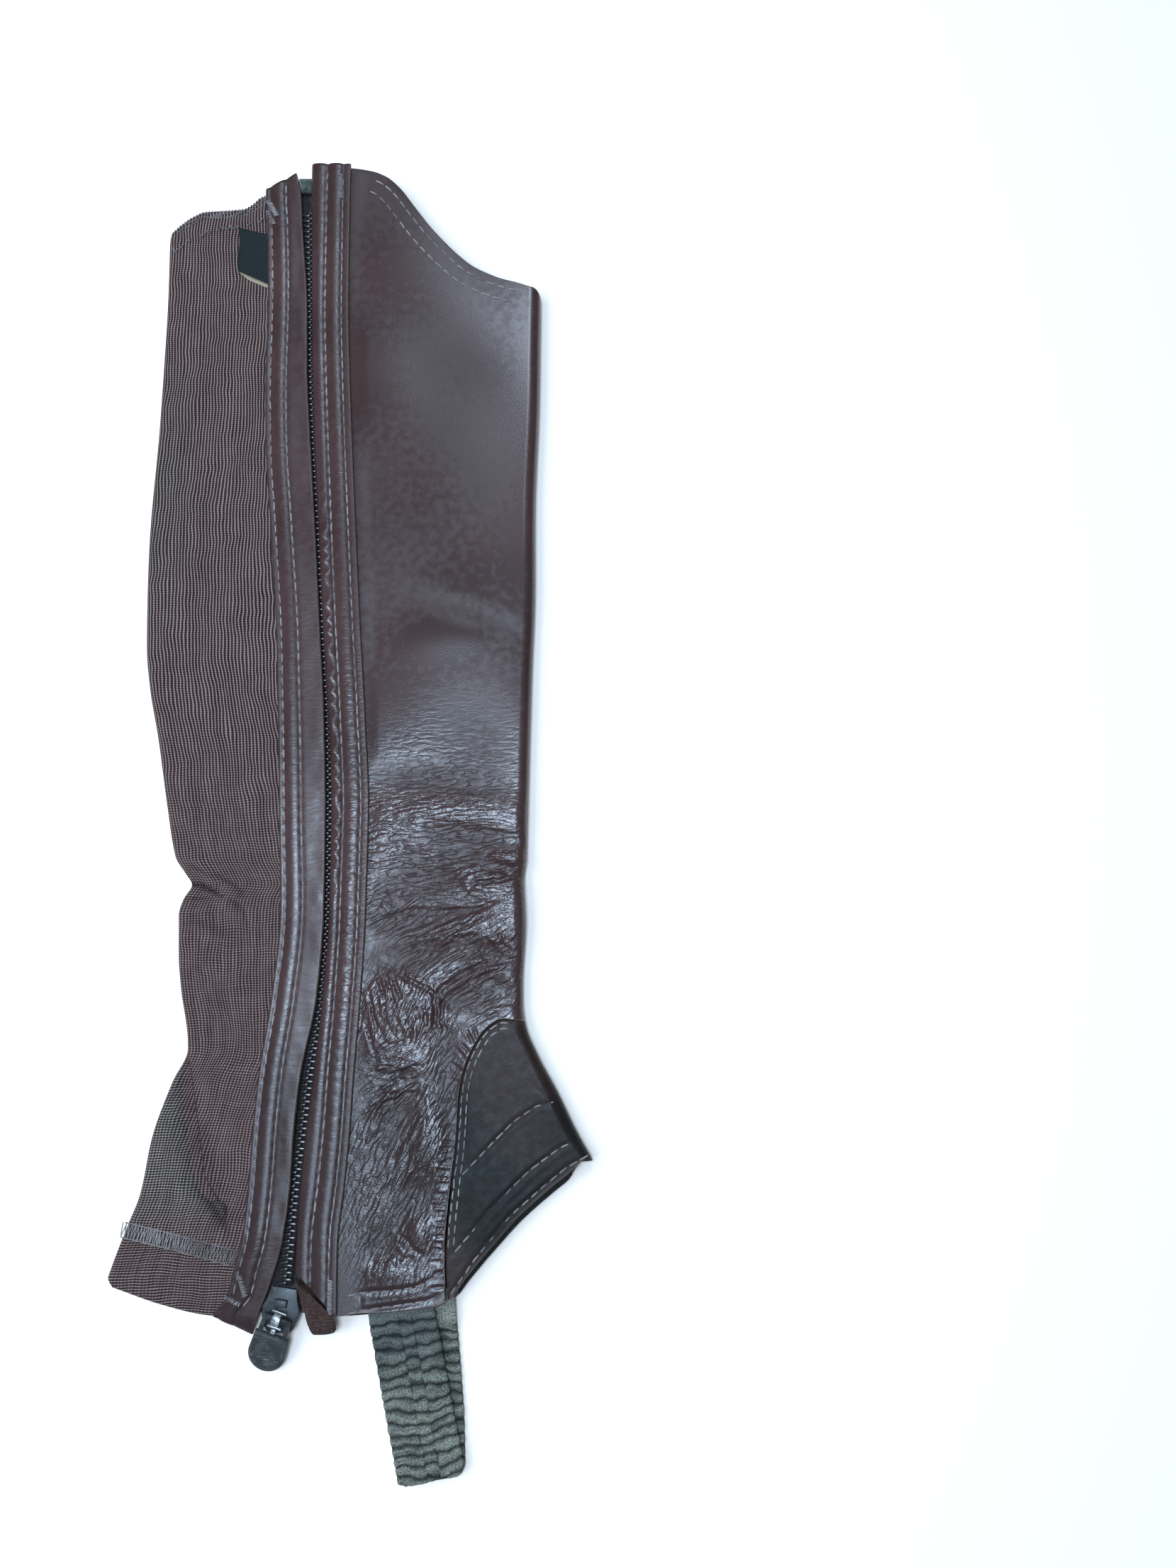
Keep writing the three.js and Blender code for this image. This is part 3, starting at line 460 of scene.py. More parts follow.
LEATHER_CREASES = [
    ([(4.1, -63.5), (9.9, -59.8), (15.7, -57.3), (21.5, -55.8), (28.9, -56.5), (36.2, -56.2)]
     + [(47.2, -56.2), (54.5, -52.5), (60.3, -47.4)], 0.8, 0.45),
    ([(49, -39.6), (54, -41), (60, -42.2), (68, -41.8)], 0.7, 0.5),
    ([(43.3, -45.9), (54.4, -44.8), (64.6, -42.4), (72, -41)], 0.9, 0.7),
    ([(50.3, -67.8), (54, -72.9), (57.6, -75.8), (68, -75.4)], 0.7, 0.5),
    ([(70, -75), (62, -75.4), (54.7, -76.8), (47.5, -77.9), (40.3, -81.5), (33.8, -85.8)]
     + [(31, -89.4)], 0.9, 0.7),
    ([(68, -77), (62, -77.9), (53.3, -80.1), (43.9, -84.4), (36, -89.4), (29.7, -96.5)], 0.9, 0.5),
    ([(61.3, -80.1), (54.1, -82.2), (47.6, -86.5), (41.1, -91.5)], 0.8, 0.35),
    ([(6.7, -76.5), (11.8, -78.6), (17.7, -82.2), (22.2, -84.4), (28, -87.2), (31, -90.1)],
     0.8, 0.5),
    ([(6, -78.6), (8.3, -82.9), (10.7, -90.1), (11.6, -98.6), (15.4, -105.7)], 0.7, 0.45),
    ([(10.4, -80.8), (13.5, -88), (14.5, -95.8), (18.3, -103.6)], 0.7, 0.5),
    ([(14.9, -84.4), (17.9, -90.1), (20.3, -96.5), (21.9, -103.6)], 0.7, 0.45),
    ([(19.3, -87.2), (22.4, -92.9), (24.6, -98.6), (24.1, -105.7)], 0.8, 0.4),
    ([(24.5, -90.1), (26.8, -95.8), (27.6, -101.5), (26.3, -107.1)], 0.7, 0.4),
    ([(29.6, -91.5), (31.1, -97.2), (29.8, -102.2), (26.2, -105.7)], 0.7, 0.35),
    ([(4, -85.8), (5.7, -92.9), (8.1, -100.1), (11.1, -106.4)], 0.7, 0.4),
    ([(50.6, -93.7), (57.8, -92.2), (64.3, -92.9), (70, -93)], 0.7, 0.6),
]
for family in (
    (1, [(6, -34), (21, -37), (36, -36), (50, -33), (60.8, -30)], 10, 1.25, 0.5, 0.3, 0.7),
    (2, [(38, -46), (46, -43.6), (56, -42.6), (66, -41.5)], 6, 1.3, 0.5, 0.42, 0.9),
    (3, [(36, -21), (48, -19), (60, -20), (68, -22)], 7, 1.4, 0.5, 0.24, 1.3),
    (4, [(17, -71), (28, -66.5), (38, -62), (52, -57)], 7, 2.2, 0.7, 0.42, 1.2),
    (5, [(26, -78), (36, -72), (48, -67), (64, -63)], 6, 2.1, 0.7, 0.42, 1.4),
    (6, [(8, -47), (14, -52), (18, -56)], 6, 2.4, 0.6, 0.26, 1.2),
    (7, [(8, -83), (12, -92), (14, -101), (18, -108)], 9, 2.6, 0.75, 0.5, 1.0),
    (8, [(24, -88), (27, -95), (27, -103), (24, -110)], 7, 2.4, 0.75, 0.42, 0.8),
    (9, [(4, -112), (12, -114.5), (20, -113.5), (27, -110.5)], 6, 2.3, 0.7, 0.42, 1.1),
    (10, [(5, -128), (15, -123.5), (24, -120)], 7, 2.2, 0.7, 0.5, 1.1),
    (11, [(8, -150), (14, -140), (22, -128), (30, -118)], 9, 2.5, 0.75, 0.48, 0.8),
    (12, [(10, -176), (16, -164), (22, -152), (28, -140)], 9, 2.5, 0.75, 0.42, 0.8),
    (13, [(6, -196), (10, -187), (15, -179)], 6, 2.3, 0.7, 0.36, 0.8),
    (14, [(14, -179), (20, -184), (28, -189)], 4, 2.2, 0.8, 0.45, 0.8),
    (15, [(40, -96), (50, -92), (62, -88)], 5, 2.8, 0.8, 0.25, 1.2),
    (16, [(44, -70), (48, -76), (52, -84)], 4, 3.2, 0.6, 0.3, 1.0),
    (17, [(52, -64), (57, -70), (64, -74)], 4, 2.6, 0.6, 0.3, 1.0),
):
    LEATHER_CREASES += crease_family(*family)
# The leather puckers beside the cap's seam.
pucker = np.random.default_rng(18)
for share in np.concatenate([np.linspace(0.2, 0.42, 8), np.linspace(0.44, 0.57, 26)]):
    y = float(cap_seam(share))
    x = float(leather_x(share, y))
    size = pucker.uniform(3.2, 6)
    lean = math.radians(pucker.uniform(-6, 14) + 60 * ease(0.42, 0.2, share))
    side = x - 0.4, y + pucker.uniform(-0.5, 0.5)
    far = side[0] - size * math.cos(lean), side[1] + size * math.sin(lean)
    LEATHER_CREASES.append(([side, far], 0.55, pucker.uniform(0.25, 0.5)))
# Which way the fine wrinkles run at places on the front: x, y, reach, degrees up from X.
WRINKLE_RUN = [
    (35, -20, 30, 5),
    (20, -36, 22, 2),
    (55, -42, 14, 12),
    (12, -55, 12, 60),
    (30, -58, 14, 20),
    (48, -66, 16, 32),
    (60, -80, 12, 20),
    (30, -78, 12, 35),
    (10, -92, 14, 100),
    (24, -96, 12, 80),
    (44, -96, 14, 45),
    (14, -113, 10, 0),
    (14, -125, 10, 28),
    (30, -118, 12, 60),
    (10, -148, 16, 55),
    (24, -150, 16, 66),
    (12, -176, 14, 65),
    (26, -172, 14, 62),
    (20, -192, 12, 50),
    (40, -130, 10, 75),
]


def wrinkle_masks(x, y):
    """How strongly the flat, slanting and steep fine wrinkles show at each point."""
    total, turned = 1e-6, 0
    for px, py, reach, degrees in WRINKLE_RUN:
        weight = np.exp(-(((x - px) ** 2 + (y - py) ** 2) / reach**2))
        total = total + weight
        turned = turned + weight * degrees
    degrees = turned / total
    strength = np.clip(total, 0, 1)
    flat = 1 - ease(14, 28, degrees)
    steep = ease(42, 58, degrees)
    return strength * flat, strength * (1 - flat - steep), strength * steep


def slow_swell(x, y):
    """The hide never lies quite flat: long low swells."""
    swell = 0.22 * np.sin(x / 11 + 1.3 * np.sin(y / 31)) * np.sin(y / 17 + 0.8)
    return swell + 0.16 * np.sin(x / 19 - y / 26 + 2)


def folded_columns(front, back, fold_steps):
    """Side (0 front, 1 fold, 2 back), share and angle of each column round a folded wall."""
    turn = math.pi * (0.5 - np.arange(1, fold_steps) / fold_steps)
    side = np.repeat([0, 1, 2], [len(front), len(turn), len(back)])
    share = np.concatenate([front, 0 * turn, back])
    angle = np.concatenate([0 * front + math.pi / 2, turn, 0 * back - math.pi / 2])
    return side[:, None], share[:, None], angle[:, None]


HEM_ROWS = [
    [(-0.3, -199.8), (4.6, -198.8), (11.1, -198.3), (18.7, -197.7), (26.3, -196.4), (31.2, -193.9)]
    + [(33.8, -192)],
    [(-0.1, -206.2), (5.3, -205), (11.3, -204.2), (18.8, -203.2), (26.4, -202.1), (31.3, -201.1)]
    + [(33.5, -200.1)],
    [(4.8, -199.2), (4.7, -204.6)],
]


def sewn_furrows(rows, depth, x, y):
    return crease_height([(row, FURROW_WIDTH, depth) for row in rows], x, y)


def leather_worn(x, y):
    """How far wear and sewing lift the front's grain side above its plain form."""
    worn = fold_rise(LEATHER_FOLDS, x, y) + slow_swell(x, y)
    worn = WEAR_LIMIT * np.tanh((worn + crease_height(LEATHER_CREASES, x, y)) / WEAR_LIMIT)
    return worn + sewn_furrows(HEM_ROWS, FURROW_DEPTH, x, y)


def loose(share):
    """1 where the front is free to crease, 0 where the zip band holds it."""
    return 1 - ease(0.76, 0.84, share)


def leather_point(side, share, angle, y, deep):
    """Points of the leather, so deep below its grain side, in millimetres."""
    x = leather_x(share, y) + np.where(side == 0, slider_room(share, y), 0)
    around = np.where(side == 1, SHIN_ROUND * (math.pi / 2 - angle), 0)
    worn = leather_worn(x + around, y)
    crease = loose(share) * worn * (deep == 0) * ease(0, 3, knee_edge(share) - y)
    half = SHIN_HEIGHT / 2
    inward = deep - crease * np.maximum(0, np.sin(angle))
    fold_x = x + (SHIN_ROUND - inward) * np.cos(angle)
    fold_z = half + (half - inward) * np.sin(angle)
    top = leather_top(share, y) - deep + crease
    swell = 0.35 * np.maximum(0, np.sin(x / 7 + y / 23)) * ease(2, 10, share * 70)
    hidden = deep + swell * (deep == 0)
    z = np.select([side == 0, side == 1], [top, fold_z], hidden)
    return np.stack([np.where(side == 1, fold_x, x), y + 0 * x, z], -1)


def closed_shell(name, outer, inner, lay, thin=1, **masks):
    """A closed wall between two grids of points, in millimetres, with a UV map in metres.
    The inner face keeps each thin-th line. A mask is a grid of values on the outer face, or a
    pair for both faces, kept as an attribute; without a pair the inner face gets 0."""
    columns, rows = outer.shape[:2]
    keep = [np.unique(np.append(np.arange(0, n, thin), n - 1)) for n in (columns, rows)]
    count, inner_rows = columns * rows, len(keep[1])
    inner_size = len(keep[0]) * inner_rows

    def squares(wide, tall):
        corner = (np.arange(wide - 1)[:, None] * tall + np.arange(tall - 1)).ravel()
        return np.stack([corner, corner + tall, corner + tall + 1, corner + 1], 1)

    back = count + squares(len(keep[0]), inner_rows)[:, ::-1]
    faces = squares(columns, rows).tolist() + back.tolist()
    grid = np.arange(count).reshape(columns, rows)
    inner_grid = count + np.arange(inner_size).reshape(-1, inner_rows)
    for line, inner_line, kept, flip in (
        (grid[:, 0], inner_grid[:, 0], keep[0], True),
        (grid[:, -1], inner_grid[:, -1], keep[0], False),
        (grid[0], inner_grid[0], keep[1], False),
        (grid[-1], inner_grid[-1], keep[1], True),
    ):
        for k, (start, end) in enumerate(zip(kept[:-1], kept[1:])):
            rim = [*line[start : end + 1].tolist(), int(inner_line[k + 1]), int(inner_line[k])]
            faces.append(rim[::-1] if flip else rim)
    few = np.ix_(*keep)
    points = np.concatenate([outer.reshape(-1, 3), inner[few].reshape(-1, 3)]) + MIDDLE
    corners = points[np.array(faces[: (columns - 1) * (rows - 1)] + back.tolist())]
    a, b, c, d = (corners[:, k] for k in range(4))
    if np.einsum("ij,ij->i", a, np.cross(b, c) + np.cross(c, d)).sum() < 0:
        faces = [face[::-1] for face in faces]
    mesh = bpy.data.meshes.new(name)
    mesh.from_pydata((points * 0.001).tolist(), [], faces)
    spots = np.concatenate([lay.reshape(-1, 2), lay[few].reshape(-1, 2)]) * 0.001
    used = np.empty(len(mesh.loops), int)
    mesh.loops.foreach_get("vertex_index", used)
    mesh.uv_layers.new(name="lay").data.foreach_set("uv", spots[used].ravel())
    for mask, values in masks.items():
        pair = values if isinstance(values, tuple) else (values, 0 * values)
        pair = [np.broadcast_to(v, (columns, rows)) for v in pair]
        both = np.concatenate([pair[0].ravel(), pair[1][few].ravel()])
        mesh.attributes.new(mask, "FLOAT", "POINT").data.foreach_set("value", both)
    weld = bmesh.new()
    weld.from_mesh(mesh)
    bmesh.ops.remove_doubles(weld, verts=weld.verts, dist=1e-8)
    weld.to_mesh(mesh)
    weld.free()
    mesh.shade_smooth()
    return linked(name, mesh)


def lay_of(points):
    """Distance across and along a grid, in millimetres, for a pattern that follows it."""
    across = np.linalg.norm(np.diff(points, axis=0), axis=-1)
    across = np.concatenate([np.zeros((1, points.shape[1])), np.cumsum(across, 0)])
    return np.stack([across, points[..., 1]], -1)


def back_drop(side, share):
    return BACK_HEM_DROP * ease(0, 0.1, share) * (1 - ease(0.9, 1, share)) * (side > 0)


def rows_within(rows, low, high):
    """The same heights in every column, between a few rows that follow its own two ends."""
    low, high = np.broadcast_arrays(low, high)
    ends = np.array([0, 0.3, 0.7, 1.3]) * np.clip((high - low) / 4, 0.05, 1)
    between = np.clip(rows[None, :], low + ends[:, -1:], high - ends[:, -1:])
    return np.concatenate([low + ends, between, high - ends[:, ::-1]], 1)


def hide_lay(points, side, angle):
    """Places on the hide as if it were opened out flat, in millimetres."""
    x, y = points[..., 0], points[..., 1]
    shin = shin_fold(y) - SHIN_ROUND
    turn = shin + SHIN_ROUND * (math.pi / 2 - angle)
    return np.stack([np.select([side == 0, side == 1], [x, turn], turn + shin - x), y], -1)


BACK_TOP, SEAM_TOP = 204.5, 226
side, share, angle = folded_columns(
    np.linspace(1, 0, 150),
    np.array([0, 0.03, 0.08, 0.16, 0.26, 0.38, 0.5, 0.565, 0.58, 0.7, 0.85, 1, BACK_REACH]),
    10,
)
corner_cut = 12 * np.clip((share - 0.9) / 0.1, 0, 1) * (side == 0)
hem = hem_line(share) - back_drop(side, share) + corner_cut
low = np.where(share < CAP_SHARE, cap_seam(share) + GAP / 2, hem)
high = np.select(
    [side == 0, side == 1],
    [knee_edge(share), mix(BACK_TOP, knee_edge(0), np.clip(np.sin(angle), 0, 1))],
    mix(BACK_TOP, SEAM_TOP, ease(0, BACK_REACH, share)),
)
rows = np.concatenate([np.arange(-209, 6, 0.6), np.arange(6, 205, 2.2), np.arange(205, 268, 1.1)])
y = rows_within(rows, low, high)
grain_side = leather_point(side, share, angle, y, 0)
flesh_side = leather_point(side, share, angle, y, LEATHER)
by_fold = bell(share * leather_reach(y) - 1, 5) * (side == 0)
raw = 0.5 * bell(y - low, 0.5) * (share > CAP_SHARE) * np.ones(y.shape)
flat, slanting, steep = wrinkle_masks(grain_side[..., 0], y)
cracked = 0.1 * ease(10, -75, y)
for cx, cy, reach in ((52, -62, 12), (44, -71, 9), (12, -96, 9), (14, -120, 9), (30, -56, 8)):
    spot = np.exp(-((grain_side[..., 0] - cx) ** 2 + (y - cy) ** 2) / reach**2)
    cracked = np.maximum(cracked, 0.75 * spot)
seen = side < 2
leather_panel = closed_shell(
    "leather_panel_cloth",
    grain_side,
    flesh_side,
    hide_lay(grain_side, side, angle),
    cracked=cracked * seen,
    flat=flat * seen,
    slanting=slanting * seen,
    steep=steep * seen,
    polished=by_fold,
    raw=np.clip(raw, 0, 1),
    crest=np.clip(leather_worn(grain_side[..., 0], y) / 0.5, -1, 1) * (side == 0),
    grain=np.ones(y.shape),
    thin=5,
)


def dress(piece, material, node=None, body="chap"):
    """Gives a piece its material and body, and hides the plain node that it stands for."""
    piece.data.materials.append(material)
    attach(piece, body)
    if node:
        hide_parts(node)


def place_maths(tree, operation, a, b):
    return add_node(tree, "VectorMath", sockets={0: a, 1: b}, operation=operation)


def scaled(tree, place, by):
    return add_node(tree, "VectorMath", sockets={0: place, "Scale": by}, operation="SCALE")


def lay_place(tree):
    """A place on the piece's own UV map, in millimetres."""
    return scaled(tree, add_node(tree, "UVMap", uv_map="lay"), 1000.0)


def part_of(tree, place, which):
    """The X (0), Y (1) or Z (2) of a place."""
    return add_node(tree, "SeparateXYZ", which, {0: place})


def kept_mask(tree, name):
    return add_node(tree, "Attribute", "Fac", attribute_name=name)


def leather_finish(name, deep, light, roughness, crackle, darkened=0.5, **sockets):
    """Worn pigmented leather: pores, crackle and wrinkles where worn, scuffs, raw pale edges;
    painted shade in the fold hollows and along the wrinkle and crack lines.
    """
    material, tree = new_material(name, light, roughness, **sockets)
    lay = lay_place(tree)
    masks = ("cracked", "flat", "slanting", "steep", "polished", "raw", "crest", "grain")
    mask = {key: kept_mask(tree, key) for key in masks}
    patches = noise(tree, lay, 0.022, 1.2, 0.4, 0.2)
    mottle = noise(tree, lay, 0.3, 3, 0.5)
    grain = noise(tree, lay, 1.3, 2, 0.5)
    bend = add_node(tree, "TexNoise", "Color", {"Vector": lay, "Scale": 0.11, "Detail": 2.0})
    bend = place_maths(tree, "SUBTRACT", bend, (0.5, 0.5, 0.5))
    bent = place_maths(tree, "ADD", lay, scaled(tree, bend, 1.5))
    crack = rest_of(tree, spread(tree, cells(tree, bent, 0.4), 0.0, 0.1))
    crack = times(tree, times(tree, crack, mask["cracked"]), crackle)
    ridges, furrows = 0.0, crack
    for key, degrees in (("flat", 4), ("slanting", 30), ("steep", 64)):
        turned = mapped(tree, bent, (1, 1), -math.radians(degrees))
        fold = noise(tree, mapped(tree, turned, (0.12, 0.46)), 1.0, 1.5, 0.4, 0.2)
        fold = maths(tree, "ABSOLUTE", maths(tree, "SUBTRACT", fold, 0.5))
        ridge = spread(tree, fold, 0.0, 0.2)
        ridges = plus(tree, ridges, times(tree, ridge, mask[key]))
        line = rest_of(tree, spread(tree, fold, 0.0, 0.035))
        furrows = maths(tree, "MAXIMUM", furrows, times(tree, line, mask[key]))
    wrinkled = plus(tree, plus(tree, mask["flat"], mask["slanting"]), mask["steep"])
    net = spread(tree, cells(tree, mapped(tree, bent, (0.55, 1.0), -0.6), 1.0), 0.0, 0.3)
    net = times(tree, net, wrinkled)
    pores = cells(tree, lay, 2.2, "F1")
    # Painted shade: the leather's colour darkens in the hollows of its folds, read from the crest
    # mask.
    hollow_shade = maths(tree, "MAXIMUM", times(tree, mask["crest"], -0.8), 0.0)
    near_foot = spread(tree, part_of(tree, lay, 1), -70.0, -150.0, 0.0, darkened)
    inside = rest_of(tree, mask["grain"])
    base = coated(
        tree,
        mixed(tree, spread(tree, patches, 0.36, 0.62), deep, light),
        (hollow_shade, (deep[0] * 0.9, deep[1] * 0.66, deep[2] * 0.66)),
        (near_foot, (0.013, 0.0092, 0.0105)),
        (spread(tree, mottle, 0.56, 0.78, 0.0, 0.22), toned(light, 1.6)),
        # Painted shade: the furrows, the wrinkle and crack lines, are coloured darker.
        (times(tree, furrows, 0.7), toned(deep, 0.3)),
        (times(tree, mask["raw"], 0.5), (0.16, 0.105, 0.08)),
        (inside, (0.1, 0.07, 0.055)),
    )
    rough = spread(tree, patches, 0.3, 0.7, roughness + 0.04, roughness - 0.03)
    rough = plus(tree, rough, spread(tree, mottle, 0.3, 0.7, -0.05, 0.06))
    rough = maths(tree, "SUBTRACT", rough, times(tree, mask["polished"], 0.08))
    rough = plus(tree, rough, times(tree, furrows, 0.3))
    rough = plus(tree, rough, times(tree, mask["crest"], -0.14))
    rough = plus(tree, rough, times(tree, inside, 0.5))
    rough = maths(tree, "SUBTRACT", rough, times(tree, near_foot, 0.08))
    rough = maths(tree, "MAXIMUM", rough, 0.26)
    dip = times(tree, furrows, -1.0)
    heights = [(ridges, 0.00014), (net, 0.000035), (dip, 0.00006), (pores, 0.00001)]
    to_shader(tree, base, rough, [*heights, (grain, 0.00002)])
    return material


PANEL_DEEP, PANEL_LIGHT = (0.028, 0.011, 0.0105), (0.04, 0.0175, 0.0168)
panel_leather = leather_finish(
    "panel_leather", PANEL_DEEP, PANEL_LIGHT, 0.3, 1.0, Specular_IOR_Level=0.7
)
dress(leather_panel, panel_leather, "leather_panel")

# ==== instep cap ============================================================================
# A stiffer, duller piece of the same cowhide over the toe, front and back, lapped on the panel
# with a double row along its seam and two rows across it. A dark lining shows in its back half.

LINING = 1
LINING_DEPTH = 24
SEAM_SETBACK = 0.004  # a share that leaves the seam's groove open
CAP_FURROW_DEPTH = 0.35

cap_shares = np.linspace(0, CAP_SHARE - 0.005, 64)
side, share, angle = folded_columns(cap_shares[::-1], cap_shares[::3], 12)
low = hem_line(share) - back_drop(side, share)
high = cap_seam(share + SEAM_SETBACK) - GAP
y = rows_within(np.arange(-206, -98, 0.8), low, high)
CAP_CREASES = []
for family in (
    (31, [(80, -122), (88, -136), (92, -148)], 9, 1.5, 0.5, 0.16, 1.0),
    (32, [(70, -112), (76, -122), (84, -134)], 6, 2.2, 0.7, 0.12, 1.0),
    (33, [(44, -190), (58, -176), (74, -160)], 4, 2.4, 0.8, 0.12, 1.0),
):
    CAP_CREASES += crease_family(*family)
# Rows of stitches across the cap, from the seam to the shin fold.
CAP_ROWS = [
    [(41.6, -157), (52.9, -145.3), (61.5, -136.8), (70.2, -131), (78.1, -129.2)],
    [(39.4, -184.9), (53.2, -168.7), (67.4, -155), (79, -146.6), (86, -143.2)],
    [(38.1, -199.9), (47.8, -186.4), (60.5, -171.3), (73.3, -160.4), (81.7, -153.7)]
    + [(90.7, -148.7)],
]


def cap_shape(side, share, angle, y, deep):
    """The cap on the leather's form: sewn-down rows, a raised cut edge, a soft swell between."""
    points = leather_point(side, share, angle, y, deep)
    if deep:
        return points
    x = points[..., 0]
    rows = sewn_furrows(CAP_ROWS, CAP_FURROW_DEPTH, x, y)
    swell = 0.5 * np.sin(x / 9 - 1) * np.sin(y / 12) + crease_height(CAP_CREASES, x, y)
    edge = bell(high - y, 0.9)
    lifted = (rows + swell) * ease(0, 4, high - y) - 0.3 * edge
    points[..., 2] += np.where(side == 0, lifted, 0)
    return points


outer, inner = (cap_shape(side, share, angle, y, deep) for deep in (0, LEATHER))
raw = 0.15 * bell(high - y, 1.6) + 0.6 * bell(y - low, 0.8)
instep_cap = closed_shell(
    "instep_cap_cloth",
    outer,
    inner,
    hide_lay(outer, side, angle),
    cracked=0.05 + 0 * y,
    slanting=0.1 + 0 * y,
    polished=0 * y,
    raw=np.clip(raw, 0, 1),
    grain=np.ones(y.shape),
)
CAP_DEEP, CAP_LIGHT = (0.0045, 0.0055, 0.0055), (0.02, 0.012, 0.0105)
cap_leather = leather_finish(
    "cap_leather", CAP_DEEP, CAP_LIGHT, 0.44, 0.3, 0.0, Specular_IOR_Level=0.2
)
dress(instep_cap, cap_leather, "instep_cap")

side, share, angle = folded_columns(np.array([]), np.linspace(0.06, 0.54, 30), 1)
low = hem_line(share) - back_drop(side, share)
high = np.minimum(low + LINING_DEPTH, cap_seam(share) - 4)
y = mix(low, high, np.linspace(0, 1, 20)[None, :])
x = leather_x(share, y)
under = LEATHER + GAP + 0 * x
nap = 0.12 * np.sin(x * 1.9 + 2 * np.sin(y)) * np.sin(y * 2.3)
top_face = np.stack([x, y, under + LINING + nap], -1)
under_face = np.stack([x, y, under], -1)
cap_lining = closed_shell("cap_lining_cloth", top_face, under_face, lay_of(top_face))


def cloth_finish(name, dark, light, roughness, pitch, depth, on_object=False):
    """Plain woven cloth: threads over and under at a pitch in millimetres, slightly uneven."""
    material, tree = new_material(name, light, roughness)
    lay = lay_place(tree)
    if on_object:
        lay = scaled(tree, add_node(tree, "TexCoord", "Object"), 1000.0)
    threads = {"Vector": lay, "Scale": 1.0, "Brick Width": pitch, "Row Height": pitch * 0.55}
    threads.update({"Mortar Size": pitch * 0.12, "Mortar Smooth": 1.0})
    weave = add_node(tree, "TexBrick", "Fac", threads)
    mottle = noise(tree, lay, 0.6, 4, 0.6)
    base = mixed(tree, spread(tree, mottle, 0.35, 0.65), dark, light)
    # Painted shade: the gaps between the threads, the low parts of the weave, are darker.
    base = mixed(tree, times(tree, weave, 0.6), base, toned(dark, 0.4))
    height = rest_of(tree, weave)
    to_shader(tree, base, None, [(height, depth), (mottle, depth)])
    return material


lining_cloth = cloth_finish("lining", (0.008, 0.01, 0.01), (0.02, 0.024, 0.024), 0.9, 0.6, 0.00008)
dress(cap_lining, lining_cloth, "cap_lining")

# ==== calf panel of stretch knit ============================================================
# Ribbed elastic knit 1.3 mm thick round the calf, sewn under the left zip band in front and to
# the leather's back seam behind. It is pinched at the ankle and lies in one long slanting fold
# above the heel; the part below that fold is stretched and worn paler.

KNIT = 1.3
CALF_HEIGHT = 4.4
CALF_ROUND = 2.5
KNIT_RISE = 1.2
KNIT_TUCK = 6
HEEL_LAP = 2.2  # how far the knit steps down beyond its slanting fold
calf_fold = table(
    [(240, -92.3), (195, -91.3), (150, -91.6), (99, -93), (52, -91.5), (35, -89.3), (13, -84.5)]
    + [(-15, -79.2), (-35, -74.7), (-42, -70.1), (-46, -67.9), (-52, -70.7), (-58, -72.1)]
    + [(-75, -71.4), (-86, -70), (-110, -66), (-122, -71.1), (-144, -77.7), (-164, -81.2)]
    + [(-175, -85.1), (-186, -89), (-194, -91.6)]
)
# Across the knit, share 0 is the calf fold and 1 the edge under the zip band.
knit_top = table(
    [(0, 237.4), (0.07, 240.5), (0.167, 243.8), (0.288, 246.2), (0.468, 246.6), (0.645, 247.2)]
    + [(0.741, 249.6), (0.818, 252.8), (1, 255.2)]
)
knit_hem = table([(0, -197.6), (0.365, -203.4), (0.8, -207.5), (1, -208.2)])
KNIT_FOLDS = [
    (-70, -45, -55, -50, 2.5, -0.9),
    (-73, -36, -55, -41, 5, 0.9),
    (-73, -56, -56, -58, 5, 0.8),
    (-67, -112, -46, -168, 4.5, -0.9),
    (-75, -132, -58, -172, 9, 1.7),
]
# The long slanting fold, from the calf fold down to the zip band.
HEEL_FOLD = [(-66.5, -108), (-64.4, -117), (-63, -124), (-61.6, -131), (-59.4, -140.4)]
HEEL_FOLD += [(-57.5, -149.6), (-55.7, -157), (-52, -163.4), (-47, -168.8)]
KNIT_CREASES = [
    ([(-72, -45), (-67.5, -45.6), (-62.7, -46.8), (-58.7, -48.8), (-54.7, -50.8)], 0.8, 1.6),
    ([(-54.7, -50.8), (-49.6, -53.2), (-46, -56.6), (-44.5, -61.5), (-44.6, -66.4)], 0.9, 0.5),
    ([(-60.3, -39.9), (-55.1, -43.9), (-49.9, -46.8), (-45.8, -50.8)], 1.1, 0.6),
    ([(-69, -38), (-62, -41.5), (-57, -45)], 0.9, 0.5),
    ([(-70, -52), (-63, -51.5), (-57, -51)], 0.9, 0.5),
    ([(-66, -60), (-58, -63), (-50, -66)], 2.2, 0.3),
    ([(-58, -160), (-50, -172), (-46, -178)], 1.6, 0.6),
]


def knit_start(y):
    return calf_fold(y) + CALF_ROUND


def knit_reach(y):
    return band_edge(y) + KNIT_TUCK - calf_fold(y) - CALF_ROUND


def knit_height(share, y):
    """Height of the front knit's outer face; its hem sinks onto the back layer."""
    lying = CALF_HEIGHT + KNIT_RISE * share
    return mix(lying, mix(CALF_HEIGHT - 0.6, 3.5, share), ease(-182, -207, y))


def beyond_heel_fold(x, y):
    """How far a point lies to the left of the slanting fold, in millimetres."""
    line = table([(b, a) for a, b in HEEL_FOLD])
    return (line(y) - x) * 0.95


